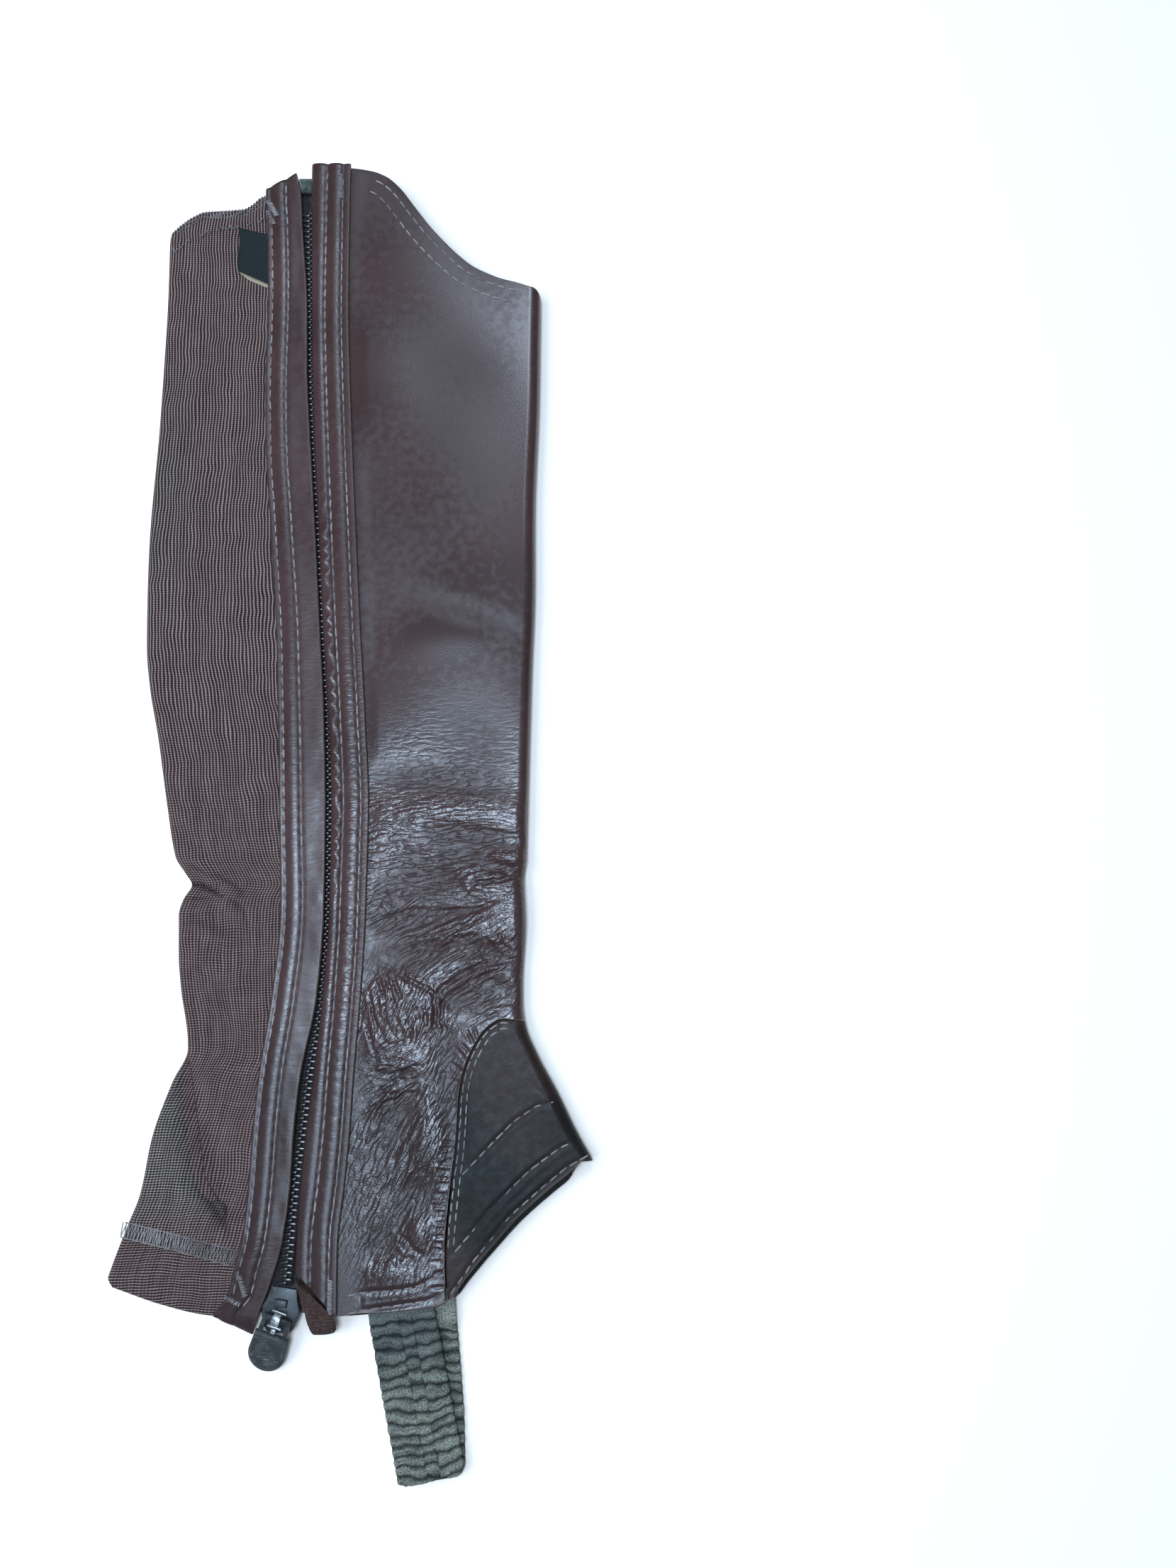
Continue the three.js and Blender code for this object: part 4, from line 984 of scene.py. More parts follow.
def knit_point(side, share, angle, y, deep):
    front_x = knit_start(y) + share * knit_reach(y)
    back_seam = leather_x(BACK_REACH, y) - 2 * GAP
    back_x = knit_start(y) + share * (back_seam - calf_fold(y) - CALF_ROUND)
    free = 1 - ease(0.72, 0.84, share)
    rise = fold_rise(KNIT_FOLDS, front_x, y) + 0.15 * np.sin(front_x / 9) * np.sin(y / 21)
    crease = crease_height(KNIT_CREASES, front_x, y) if deep == 0 else 0
    away = beyond_heel_fold(front_x, y)
    along = ease(-106, -116, y) * ease(-174, -160, y)
    lap = along * bell(np.maximum(away, 0), 6) * ease(-0.2, 0.7, away)
    top = knit_height(share, y) - deep + free * (rise + crease) - HEEL_LAP * lap * (deep == 0)
    half = knit_height(0, y) / 2
    rise = free * rise
    fold_x = front_x - (CALF_ROUND - deep) * np.cos(angle)
    fold_z = half + (half - deep + rise / 2) * np.sin(angle) + rise / 2
    x = np.select([side == 0, side == 1], [front_x, fold_x], back_x)
    z = np.select([side == 0, side == 1], [top, fold_z], deep + 0 * front_x)
    return np.stack([x, y + 0 * front_x, z], -1)


KNIT_BACK_TOP = 229
side, share, angle = folded_columns(np.linspace(1, 0, 84), np.linspace(0, 1, 16), 10)
low = knit_hem(share) + np.where(side == 1, 3 * np.cos(angle), 0)
high = np.select(
    [side == 0, side == 1],
    [knit_top(share), mix(KNIT_BACK_TOP, knit_top(0), np.clip(np.sin(angle), 0, 1))],
    mix(KNIT_BACK_TOP, SEAM_TOP, share),
)
rows = np.concatenate([np.arange(-209, 10, 1.1), np.arange(10, 225, 3), np.arange(225, 257, 0.9)])
y = rows_within(rows, low, high)
outer, inner = (knit_point(side, share, angle, y, deep) for deep in (0, KNIT))
away = beyond_heel_fold(outer[..., 0], y)
stretched = ease(0, 2, away) * ease(-108, -120, y) * ease(-186, -160, y) * (side < 2)
rubbed = bell(y - 118, 52) * bell(share, 0.22) * (side < 2)
hem_part = ease(-176, -182, y + 0.16 * (outer[..., 0] + 88))
creased = crease_height(KNIT_CREASES, outer[..., 0], y)
under_fold = ease(-0.4, 0.2, away) * np.exp(-np.maximum(away, 0) / 1.6)
under_fold = under_fold * ease(-108, -122, y) * ease(-178, -168, y)
shaded = np.clip(-creased / 0.9, 0, 1) + 1.6 * under_fold
MEAN_REACH = 44
width = mix(MEAN_REACH, knit_reach(y), 0.6)
turn = -CALF_ROUND * (math.pi / 2 - angle)
behind = turn - (outer[..., 0] - calf_fold(y))
knit_u = np.select([side == 0, side == 1], [share * width, turn], behind)
calf_knit = closed_shell(
    "calf_knit_cloth",
    outer,
    inner,
    np.stack([knit_u, y], -1),
    stretched=stretched,
    rubbed=rubbed,
    turned_up=hem_part,
    shaded=np.clip(shaded, 0, 1) * (side < 2),
)

KNIT_EVEN = (0.09, 0.065, 0.06)
stretch_knit, tree = new_material("stretch_knit", KNIT_EVEN, 0.85, Specular_IOR_Level=0.15)
lay = lay_place(tree)
RIB_PITCH, COURSE_PITCH = 1.25, 0.95
stretch_mask, rubbed_mask, hem_mask, shade = (
    kept_mask(tree, name) for name in ("stretched", "rubbed", "turned_up", "shaded")
)
wander = add_node(tree, "TexNoise", "Color", {"Vector": lay, "Scale": 0.05, "Detail": 2.0})
bent = place_maths(tree, "ADD", lay, scaled(tree, wander, 4.0))
across, down = part_of(tree, bent, 0), part_of(tree, bent, 1)
rib = maths(tree, "SINE", times(tree, across, 2 * math.pi / RIB_PITCH))
course = maths(tree, "SINE", times(tree, down, 2 * math.pi / COURSE_PITCH))
low_part = spread(tree, down, 40.0, -60.0)
rib_strength = maths(tree, "MULTIPLY_ADD", low_part, -0.35, 1.0)
rib_strength = maths(tree, "MULTIPLY_ADD", hem_mask, -0.45, rib_strength)
course_strength = maths(tree, "MULTIPLY_ADD", stretch_mask, 0.4, 0.3)
course_strength = maths(tree, "MULTIPLY_ADD", low_part, 0.25, course_strength)
course_strength = maths(tree, "MULTIPLY_ADD", hem_mask, 0.35, course_strength)
rib_height = times(tree, rib, rib_strength)
height = maths(tree, "MULTIPLY_ADD", course, course_strength, rib_height)
rib_tone = noise(tree, mapped(tree, bent, (0.8, 0.025)), 1.0, 2, 0.6)
course_tone = noise(tree, mapped(tree, bent, (0.05, 0.75)), 1.0, 2, 0.6)
course_tone = times(tree, spread(tree, course_tone, 0.52, 0.7, 0.0, 0.4), course_strength)
mottle = noise(tree, lay, 0.09, 4, 0.6)
base = coated(
    tree,
    mixed(tree, spread(tree, mottle, 0.3, 0.7), (0.11, 0.068, 0.064), (0.15, 0.098, 0.092)),
    (times(tree, rubbed_mask, 0.65), (0.1, 0.1, 0.084)),
    (times(tree, stretch_mask, 0.8), (0.135, 0.136, 0.115)),
    (spread(tree, rib_tone, 0.42, 0.62, 0.0, 0.45), (0.028, 0.018, 0.018)),
    (course_tone, (0.22, 0.17, 0.165)),
    # Painted shade in the grooves between ribs and courses, and a painted highlight on their
    # crests.
    (spread(tree, height, -1.0, 0.6, 0.95, 0.0), (0.01, 0.007, 0.007)),
    (spread(tree, height, 0.5, 1.2, 0.0, 0.8), (0.36, 0.28, 0.27)),
    (times(tree, shade, 0.85), (0.01, 0.007, 0.007)),
)
to_shader(tree, base, None, [(height, 0.00016), (noise(tree, lay, 3.5, 3), 0.0001)])
dress(calf_knit, stretch_knit, "calf_knit")

# ==== zip bands =============================================================================
# Two leather strips 1.2 mm thick that cover the zip tapes, each sewn down with two rows so that
# a padded channel swells between them. Their cut edges are left raw and pale.

BAND = 1.2
CHANNEL_PUFF = 0.55
STITCH_PITCH = 5.0
LEFT_ROWS, RIGHT_ROWS = (2.2, 8.9), (-10, -3.1)  # from the left band's edge and the raw edge
left_band_under = table([(-178, 6.1), (-190, 5.3), (-200, 4.4), (-208, 3.85), (-215, 1.9)])


def band_form(x, y, first, second, channel_wrinkles, seed):
    """Height that sewing gives a band: a furrow at each row, puckered, and a swollen channel."""
    t = np.clip((x - first) / (second - first), 0, 1)
    phase = 2 * np.pi * y / STITCH_PITCH
    wrinkle = np.sin(y * 1.31 + 1.7 * np.sin(y * 0.37 + seed)) * np.sin(y * 0.53 + seed)
    cross = np.abs(np.sin(y * 0.62 + 1.2 * np.sin(y * 0.23 + seed) + 0.3 * (x - first))) ** 0.4
    height = CHANNEL_PUFF * np.sin(np.pi * t) * (1 + 0.08 * wrinkle * channel_wrinkles)
    height = height - 0.14 * channel_wrinkles * (1 - cross) * np.sin(np.pi * t) ** 0.5
    for row in (first, second):
        pucker = 0.3 + 0.12 * np.cos(phase + seed)
        height = height - pucker * bell(x - row, 0.65)
    return height


def rounded_edge(distance, radius):
    """How far a face drops towards an edge that is turned over with this radius."""
    inside = np.clip(distance / radius, 0, 1)
    return radius * (1 - np.sqrt(1 - (1 - inside) ** 2))


def left_band_top(x, y):
    first, second = (band_edge(y) + row for row in LEFT_ROWS)
    ripple = np.sin(y / 4.3 + 1.4 * np.sin(y / 9)) * np.sin(x / 2.1 + y / 17)
    roll = (0.16 * np.sin(y / 13) + 0.1 * ripple) * ease(second + 1, left_edge(y) - 2, x)
    return left_band_under(y) + BAND + roll + band_form(x, y, first, second, 0.35 + 0 * y, 0.4)


def right_band_top(x, y):
    first, second = (raw_edge(y) + row for row in RIGHT_ROWS)
    worn = 0.5 + 1.3 * ease(60, -20, y) * ease(-150, -90, y)
    flap = ease(first - 0.8, right_edge(y) + 1.5, x) * ease(130, 90, y) * ease(-60, -30, y)
    ruffle = 0.45 * np.sin(y * 0.83 + 2 * np.sin(y * 0.21)) * flap
    plump = 0.5 * np.sin(np.pi * np.clip((x - right_edge(y)) / (first - right_edge(y)), 0, 1))
    under = leather_top(leather_share(x, y), y) + GAP
    return under + BAND + ruffle + plump + band_form(x, y, first, second, worn, 2.1)


def band_piece(name, columns, rows, start, end, bottom, top, face, under, edge_round, wrinkled):
    """A band between two lines in x, with rounded long edges."""
    g = 0.5 - 0.5 * np.cos(np.pi * np.linspace(0, 1, columns))
    g = mix(g, np.linspace(0, 1, columns), 0.5)[:, None]
    y = mix(bottom(g), top(g), np.linspace(0, 1, rows)[None, :])
    x = mix(start(y), end(y), g)
    z = face(x, y)
    near_start, near_end = x - start(y), end(y) - x
    z = z - rounded_edge(near_start, edge_round[0]) - rounded_edge(near_end, edge_round[1])
    low = under(x, y)
    z = np.maximum(z, low + 0.35)
    ragged = 0.35 + 0.65 * np.abs(np.sin(y * 1.1) * np.sin(y * 2.7 + 1))
    raw = bell(near_end, 0.6) * (edge_round[1] < 0.6)
    raw = raw + 0.2 * bell(near_start, 0.3) * (edge_round[0] < 0.6)
    outer, inner = np.stack([x, y, z], -1), np.stack([x, y, low], -1)
    lay = np.stack([x - start(y), y], -1)
    return closed_shell(
        name,
        outer,
        inner,
        lay,
        cracked=0.04 + 0 * y,
        flat=wrinkled(y) + 0 * x,
        polished=0.5 * bell(near_start, 6),
        raw=np.clip(raw * ragged, 0, 1),
        crest=np.clip((face(x, y) - low - BAND) / 0.8, -0.3, 0.4),
        grain=np.ones(y.shape),
    )


band_left = band_piece(
    "zip_band_left_cloth",
    30,
    460,
    band_edge,
    left_edge,
    lambda g: mix(-207.5, -214.5, g),
    lambda g: mix(255.4, 263.3, g),
    left_band_top,
    lambda x, y: left_band_under(y) + 0 * x,
    (0.35, 0.5),
    lambda y: 0.12 + 0 * y,
)
band_right = band_piece(
    "zip_band_right_cloth",
    30,
    520,
    right_edge,
    raw_edge,
    lambda g: mix(-191.5, -207.3, g),
    lambda g: 267.4 + 0 * g,
    right_band_top,
    lambda x, y: leather_top(leather_share(x, y), y) + GAP,
    (1.3, 0.3),
    lambda y: 0.14 + 0.35 * ease(70, 20, y) * ease(-130, -80, y),
)
BAND_DEEP, BAND_LIGHT = (0.032, 0.0125, 0.0115), (0.046, 0.021, 0.02)
band_leather = leather_finish(
    "band_leather", BAND_DEEP, BAND_LIGHT, 0.38, 0.35, Specular_IOR_Level=0.6
)
dress(band_left, band_leather, "zip_band_left")
dress(band_right, band_leather, "zip_band_right")

# ==== zip: tapes, coil and the box at its knee end ==========================================
# A nylon coil zip on woven tapes. Each turn of the coil shows as a small glossy tooth; the two
# halves interlock along the middle and end in a small metal box at the knee.

CHAIN_UNDER, CHAIN_LOW, CHAIN_HIGH = 4.2, -196.7, 247
TOOTH_PITCH = 2.5


def rod_mesh(name, rods, sides=6):
    """Joins short round-ended rods. Each is (points, radii): centres in mm along the rod."""
    points, faces, spots = [], [], []
    turn = 2 * np.pi * np.arange(sides) / sides
    for centres, radii in rods:
        centres = np.asarray(centres, float)
        rings, base = len(centres), len(points)
        ahead = np.gradient(centres, axis=0)
        ahead /= np.linalg.norm(ahead, axis=1)[:, None]
        wide = np.cross(ahead, (0, 0, 1))
        wide /= np.maximum(np.linalg.norm(wide, axis=1), 1e-6)[:, None]
        tall = np.cross(wide, ahead)
        run = np.concatenate([[0], np.cumsum(np.linalg.norm(np.diff(centres, axis=0), axis=1))])
        for k, (centre, radius) in enumerate(zip(centres, radii)):
            round_it = np.cos(turn)[:, None] * wide[k] + np.sin(turn)[:, None] * tall[k]
            points.extend(centre + radius * round_it)
            spots.extend((run[k], t) for t in turn)
        for k in range(rings - 1):
            for s in range(sides):
                a, b = base + k * sides + s, base + k * sides + (s + 1) % sides
                faces.append((a, b, b + sides, a + sides))
        faces.append(tuple(base + s for s in reversed(range(sides))))
        faces.append(tuple(base + (rings - 1) * sides + s for s in range(sides)))
    mesh = bpy.data.meshes.new(name)
    mesh.from_pydata(((np.array(points) + MIDDLE) * 0.001).tolist(), [], faces)
    uv = mesh.uv_layers.new(name="lay")
    corners = np.array([loop.vertex_index for loop in mesh.loops])
    uv.data.foreach_set("uv", (np.array(spots) * 0.001)[corners].ravel())
    mesh.shade_smooth()
    return linked(name, mesh)


teeth = []
for n, place in enumerate(np.arange(CHAIN_LOW + 1, CHAIN_HIGH - 1, TOOTH_PITCH / 2)):
    hand = 1 if n % 2 else -1
    middle = float(zip_middle(place))
    reach = np.array([2.7, 2.2, 0.3, -0.55, -0.8]) * hand
    slant = np.array([-0.25, -0.2, 0, 0.1, 0.15])
    centres = [(middle + r, place + s, CHAIN_UNDER + 0.75) for r, s in zip(reach, slant)]
    teeth.append((centres, (0.45, 0.66, 0.72, 0.68, 0.35)))
zip_teeth = rod_mesh("zip_coil", teeth)
y = np.linspace(CHAIN_LOW, CHAIN_HIGH, 120)[None, :]
g = np.array([-1.0, -0.4, 0.4, 1.0])[:, None]
core = np.stack([zip_middle(y) + 2.6 * g, y + 0 * g, CHAIN_UNDER + 0.45 + 0 * g * y], -1)
core_low = core.copy()
core_low[..., 2] = CHAIN_UNDER
zip_core = closed_shell("zip_core", core, core_low, lay_of(core))

NYLON, NYLON_DUST = (0.012, 0.012, 0.013), (0.05, 0.048, 0.05)
TAPE_COLOURS = (0.01, 0.01, 0.011), (0.026, 0.025, 0.027)
zip_nylon, tree = new_material("zip_teeth", NYLON, 0.2, Specular_IOR_Level=1.0, Coat_Weight=0.5)
dust = noise(tree, add_node(tree, "TexCoord", "Object"), 900, 3, 0.6)
base = mixed(tree, spread(tree, dust, 0.5, 0.75, 0.0, 0.5), NYLON, NYLON_DUST)
to_shader(tree, base, spread(tree, dust, 0.3, 0.7, 0.12, 0.3), [(dust, 0.00002)])
tape_cloth = cloth_finish("zip_tape", *TAPE_COLOURS, 0.85, 0.5, 0.00006)
dress(zip_teeth, zip_nylon, "zip_chain")
dress(zip_core, tape_cloth)
# The two tapes keep their solids, woven over.
tape_weave = cloth_finish("tape_weave", *TAPE_COLOURS, 0.85, 0.5, 0.00006, True)
for name in ("zip_tape_left", "zip_tape_right"):
    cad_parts[name].data.materials.clear()
    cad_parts[name].data.materials.append(tape_weave)


def put_down():
    """Closes the piece that is open in edit mode, if any, and selects nothing."""
    if bpy.context.mode != "OBJECT":
        bpy.ops.object.mode_set(mode="OBJECT")
    bpy.ops.object.select_all(action="DESELECT")


def edit(piece):
    """Opens a piece in edit mode, with nothing else selected and nothing on it picked."""
    put_down()
    piece.select_set(True)
    bpy.context.view_layer.objects.active = piece
    bpy.ops.object.mode_set(mode="EDIT")
    bpy.ops.mesh.select_all(action="DESELECT")


def pick(piece, test, kind="FACE"):
    """In edit mode, selects only the faces, edges or points whose middle passes a test."""
    bpy.ops.mesh.select_mode(type=kind)
    bpy.ops.mesh.select_all(action="DESELECT")
    form = bmesh.from_edit_mesh(piece.data)
    parts = {"FACE": form.faces, "EDGE": form.edges, "VERT": form.verts}[kind]
    for part in parts:
        points = [part.co] if kind == "VERT" else [corner.co for corner in part.verts]
        part.select_set(bool(test(*(sum(p[k] for p in points) / len(points) for k in range(3)))))
    form.select_flush_mode()
    bmesh.update_edit_mesh(piece.data)


def soften(piece, width, segments=2, sharp=40, test=lambda x, y, z: True):
    """Bevels the sharp edges that pass a test."""
    bpy.ops.mesh.select_mode(type="EDGE")
    bpy.ops.mesh.select_all(action="DESELECT")
    bpy.ops.mesh.edges_select_sharp(sharpness=math.radians(sharp))
    form = bmesh.from_edit_mesh(piece.data)
    for side in form.edges:
        if side.select:
            middle = (side.verts[0].co + side.verts[1].co) / 2
            side.select_set(bool(test(*middle)))
    form.select_flush_mode()
    bmesh.update_edit_mesh(piece.data)
    bpy.ops.mesh.bevel(offset=width, offset_type="OFFSET", segments=segments, affect="EDGES")


def pick_all():
    bpy.ops.mesh.select_all(action="SELECT")


def move(x, y, z):
    bpy.ops.transform.translate(value=(x, y, z))


def stretch(x, y, z, about=None):
    """Stretches what is picked, about its own middle or about a place."""
    where = {"center_override": about} if about else {}
    bpy.ops.transform.resize(value=(x, y, z), **where)


def inset(thickness):
    bpy.ops.mesh.inset(thickness=thickness)


def extrude(rise):
    bpy.ops.mesh.extrude_region_move(TRANSFORM_OT_translate={"value": (0, 0, rise)})


def begin(name, primitive, **sizes):
    """A plain form at the origin, in millimetres, left open in edit mode, all picked."""
    put_down()
    primitive(**sizes)
    piece = bpy.context.object
    piece.name = name
    edit(piece)
    pick_all()
    return piece


def block(name, size, middle):
    piece = begin(name, bpy.ops.mesh.primitive_cube_add, size=1)
    stretch(*size)
    move(*middle)
    return piece


def cross_rod(name, **sizes):
    """A round bar that lies across, along X."""
    piece = begin(name, bpy.ops.mesh.primitive_cylinder_add, **sizes)
    bpy.ops.transform.rotate(value=math.pi / 2, orient_axis="Y", center_override=(0, 0, 0))
    return piece


def settle(piece, place, turn=0.0, tilt=0.0):
    """Closes a piece drawn in millimetres at the origin and takes it to its place in metres."""
    put_down()
    piece.data.transform(
        Matrix.Translation((Vector(place) + Vector(MIDDLE)) * 0.001)
        @ Matrix.Rotation(turn, 4, "Z")
        @ Matrix.Rotation(tilt, 4, "X")
        @ Matrix.Scale(0.001, 4)
    )
    piece.select_set(True)
    bpy.context.view_layer.objects.active = piece
    bpy.ops.object.shade_smooth_by_angle(angle=math.radians(35))


def joined(parts):
    """Joins finished parts into the first of them."""
    put_down()
    for part in parts:
        part.select_set(True)
    bpy.context.view_layer.objects.active = parts[0]
    bpy.ops.object.join()
    return parts[0]


def metal_finish(name, dark, light, roughness, metallic):
    """Painted or plated zip metal: rubbed lighter in patches, with fine scratches."""
    material, tree = new_material(name, light, roughness, Metallic=metallic)
    place = add_node(tree, "TexCoord", "Object")
    rubbed = noise(tree, place, 420, 5, 0.65)
    scratch = noise(tree, mapped(tree, place, (3.5, 0.5)), 900, 2, 0.5)
    base = mixed(tree, spread(tree, rubbed, 0.35, 0.65), dark, light)
    base = mixed(tree, spread(tree, scratch, 0.62, 0.7, 0.0, 0.5), base, toned(light, 2.2))
    rough = spread(tree, rubbed, 0.3, 0.7, roughness - 0.08, roughness + 0.12)
    to_shader(tree, base, rough, [(rubbed, 0.00004), (scratch, 0.00001)])
    return material


BOX_SIZE = (8, 6.8, 3)
box_low, box_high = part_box("zip_box")
zip_box = block("zip_box_metal", BOX_SIZE, (0, 0, 0))
pick(zip_box, lambda x, y, z: z > 1.4)
inset(0.8)
move(0, 0, -0.5)
soften(zip_box, 0.3)
settle(zip_box, (box_low + box_high) * 500 - Vector(MIDDLE))
box_metal = metal_finish("box_metal", (0.045, 0.06, 0.052), (0.085, 0.11, 0.1), 0.35, 0.6)
dress(zip_box, box_metal, "zip_box")

# ==== slider ================================================================================
# A die-cast slider at the hem end, with the zip closed: an upper and a lower plate joined at the
# nose, side flanges that hold the coil, and a bridge with two cross pins that carries the tab.

SLIDER_REAR, SLIDER_TURN = (-23.9, -197.2, 0), math.radians(-8)
SLIDER_STATIONS = [(0, 4.7), (4, 5.6), (7.5, 7), (10, 7), (14, 5.9), (16.5, 4.2)]
PIVOT, TAB_TURN, TAB_TILT = (-25.7, -207.8, 7.9), math.radians(-18.5), math.radians(17.4)


def slider_plate(name, low, high):
    """A plate cut across at each station along it and drawn to its half width there."""
    length = SLIDER_STATIONS[-1][0]
    piece = block(name, (2, length, high - low), (0, -length / 2, (low + high) / 2))
    for along, _ in SLIDER_STATIONS[1:-1]:
        pick_all()
        bpy.ops.mesh.bisect(plane_co=(0, -along, 0), plane_no=(0, 1, 0))
    for along, half in SLIDER_STATIONS:
        pick(piece, lambda x, y, z: abs(y + along) < 0.01, "VERT")
        stretch(half, 1, 1, about=(0, -along, 0))
    return piece


upper = slider_plate("slider_body", 4.5, 5.9)
for along, drop in ((14, 0.5), (16.5, 1.4)):
    pick(upper, lambda x, y, z: abs(y + along) < 0.01, "VERT")
    move(0, 0, -drop)
pick(upper, lambda x, y, z: z < 4.51 and y > -13)
inset(1.1)
pick(upper, lambda x, y, z: z < 4.51 and abs(x) > 3.5 and y > -13)
extrude(-0.9)
soften(upper, 0.4, test=lambda x, y, z: z > 4.6)
lower = slider_plate("slider_lower", 2.1, 3.1)
soften(lower, 0.3)
neck = block("slider_neck", (3.4, 4.6, 2), (0, -13, 3.9))
soften(neck, 0.6)
hood = block("slider_hood", (5.4, 3.4, 1.5), (-0.4, -5.6, 6.2))
pick(hood, lambda x, y, z: z > 6.9, "VERT")
stretch(0.85, 0.7, 1)
soften(hood, 0.3)
settle(joined([upper, lower, neck, hood]), SLIDER_REAR, SLIDER_TURN)
SLIDER_DARK, SLIDER_LIGHT = (0.035, 0.04, 0.043), (0.065, 0.072, 0.078)
slider_metal = metal_finish("slider_metal", SLIDER_DARK, SLIDER_LIGHT, 0.42, 0.55)
dress(upper, slider_metal, "zip_slider")

# The bridge: a ring across the slider that the tab's bar turns in, capped by a bright clip.
bridge = cross_rod("slider_bridge", vertices=28, radius=2.7, depth=2.8)
pick(bridge, lambda x, y, z: abs(x) > 1.3 and math.hypot(y, z) < 0.1)
inset(1.0)
bpy.ops.mesh.bridge_edge_loops()
soften(bridge, 0.25)
clip = block("bridge_clip", (3.2, 3.4, 0.9), (0, -0.3, 2.1))
pick(clip, lambda x, y, z: z > 2.5)
inset(0.35)
move(0, 0, 0.12)
soften(clip, 0.15)
parts = [bridge, clip]
for place in ((0, 2.5, 0.2), (0, -2.9, 0.3)):
    pin = cross_rod("bridge_pin", vertices=12, radius=0.5, depth=5.6)
    move(*place)
    soften(pin, 0.18)
    parts.append(pin)
latch = block("slider_latch", (1.7, 1.8, 1.5), (0, -4.9, -1.2))
pick(latch, lambda x, y, z: z > -0.5)
inset(0.3)
soften(latch, 0.2)
settle(joined([*parts, latch]), PIVOT, TAB_TURN)
bright_steel = metal_finish("bright_steel", (0.28, 0.3, 0.32), (0.5, 0.52, 0.54), 0.3, 0.85)
dress(bridge, bright_steel)

# ==== pull tab ==============================================================================
# A dark metal frame whose bar turns in the slider's bridge, moulded into a soft rubber paddle
# with a bevelled tip. Its emboss is left bare; scuffs are rubbed pale.

FRAME_THICK, PADDLE_THICK = 1.5, 1.8
tab_frame = begin("tab_frame", bpy.ops.mesh.primitive_plane_add, size=1)
stretch(10.6, 9.4, 1)
move(0, 1 - 4.7, -FRAME_THICK / 2)
inset(1.7)
bpy.ops.mesh.delete(type="FACE")
pick(tab_frame, lambda x, y, z: y > -2 and abs(x) < 4, "VERT")
move(0, -0.4, 0)
pick(tab_frame, lambda x, y, z: y < -5, "VERT")
stretch(1.12, 1, 1, about=(0, -8, 0))
pick_all()
extrude(FRAME_THICK)
pick_all()
bpy.ops.mesh.normals_make_consistent(inside=False)
soften(tab_frame, 0.32)
settle(tab_frame, PIVOT, TAB_TURN, TAB_TILT)
dress(tab_frame, slider_metal, body="pull")

TAB_ROUND, TAB_MIDDLE = 7.2, -14.5
tab_paddle = begin(
    "tab_paddle", bpy.ops.mesh.primitive_circle_add, vertices=44, radius=TAB_ROUND, fill_type="NGON"
)
move(0, TAB_MIDDLE, -PADDLE_THICK / 2)
pick(tab_paddle, lambda x, y, z: y > TAB_MIDDLE + 0.1, "VERT")
stretch(0.93, 0, 1, about=(0, -6.6, 0))
pick(tab_paddle, lambda x, y, z: y > -7 and abs(x) < 6.5, "VERT")
bpy.ops.mesh.dissolve_verts()
pick_all()
extrude(PADDLE_THICK - 0.4)
inset(1.1)
stretch(1, 0.82, 1, about=(0, -7.6, 0))
move(0, 0, 0.5)
inset(0.35)
move(0, 0, -0.12)
pick_all()
bpy.ops.mesh.normals_make_consistent(inside=False)
soften(tab_paddle, 0.3, sharp=50)
settle(tab_paddle, PIVOT, TAB_TURN, TAB_TILT)
rubber, tree = new_material("tab_rubber", (0.03, 0.033, 0.036), 0.5)
place = add_node(tree, "TexCoord", "Object")
dust = noise(tree, place, 260, 6, 0.7)
scuff = noise(tree, mapped(tree, place, (0.6, 4), 0.9), 380, 3, 0.6)
base = mixed(tree, spread(tree, dust, 0.4, 0.7), (0.022, 0.025, 0.027), (0.05, 0.054, 0.057))
base = mixed(tree, spread(tree, scuff, 0.6, 0.72, 0.0, 0.55), base, (0.2, 0.2, 0.2))
to_shader(tree, base, spread(tree, dust, 0.3, 0.7, 0.36, 0.6), [(dust, 0.00006), (scuff, 0.00003)])
dress(tab_paddle, rubber, "pull_tab", body="pull")

# ==== end of the zip flap ===================================================================
# The rough suede end of the flap behind the zip, rolled over below the right band.

flap = {
    key: table(list(zip((0, 0.3, 0.6, 0.8, 1), values)))
    for key, values in {
        "ax": (-19.2, -14.2, -9.2, -5.8, -3),
        "ay": (-193.6, -198, -202.6, -206.2, -210.4),
        "az": (8.1, 8.5, 8.5, 8.1, 6.2),
        "bx": (-19.4, -17, -15.2, -12.6, -5.6),
        "by": (-196, -203, -210, -214.6, -214.4),
        "bz": (6.4, 5.4, 4.4, 3.4, 3.4),
    }.items()
}
t = np.linspace(0, 1, 70)[:, None]
g = np.linspace(0, 1, 40)[None, :]
past = np.clip((t - 0.86) / 0.14, 0, 1)
g_round = mix(0.5, g, np.sqrt(np.clip(1 - past**3, 0.2, 1)))
x, y, z = (mix(flap["a" + k](t), flap["b" + k](t), g_round) for k in "xyz")
z = z + 0.8 * np.sin(np.pi * g_round) + 0.6 * np.sin(9 * t + 4 * g) * np.sin(6 * g - 5 * t)
rough = 0.22 * np.sin(7 * x + 3 * np.sin(5 * y)) * np.sin(6.1 * y + 2 * np.sin(4 * x))
edge = np.minimum(np.minimum(g, 1 - g) * 6, 1) * np.minimum(np.minimum(t, 1 - t) * 14, 1)
top_face = np.stack([x, y, z + BAND * mix(0.45, 1, edge) + rough * edge], -1)
flap_end = closed_shell("zip_flap_end_cloth", top_face, np.stack([x, y, z], -1), lay_of(top_face))
suede, tree = new_material("suede", (0.1, 0.05, 0.035), 0.95, Specular_IOR_Level=0.2)
lay = lay_place(tree)
fibre = noise(tree, lay, 1.4, 6, 0.75)
pits = cells(tree, lay, 0.8, "F1")
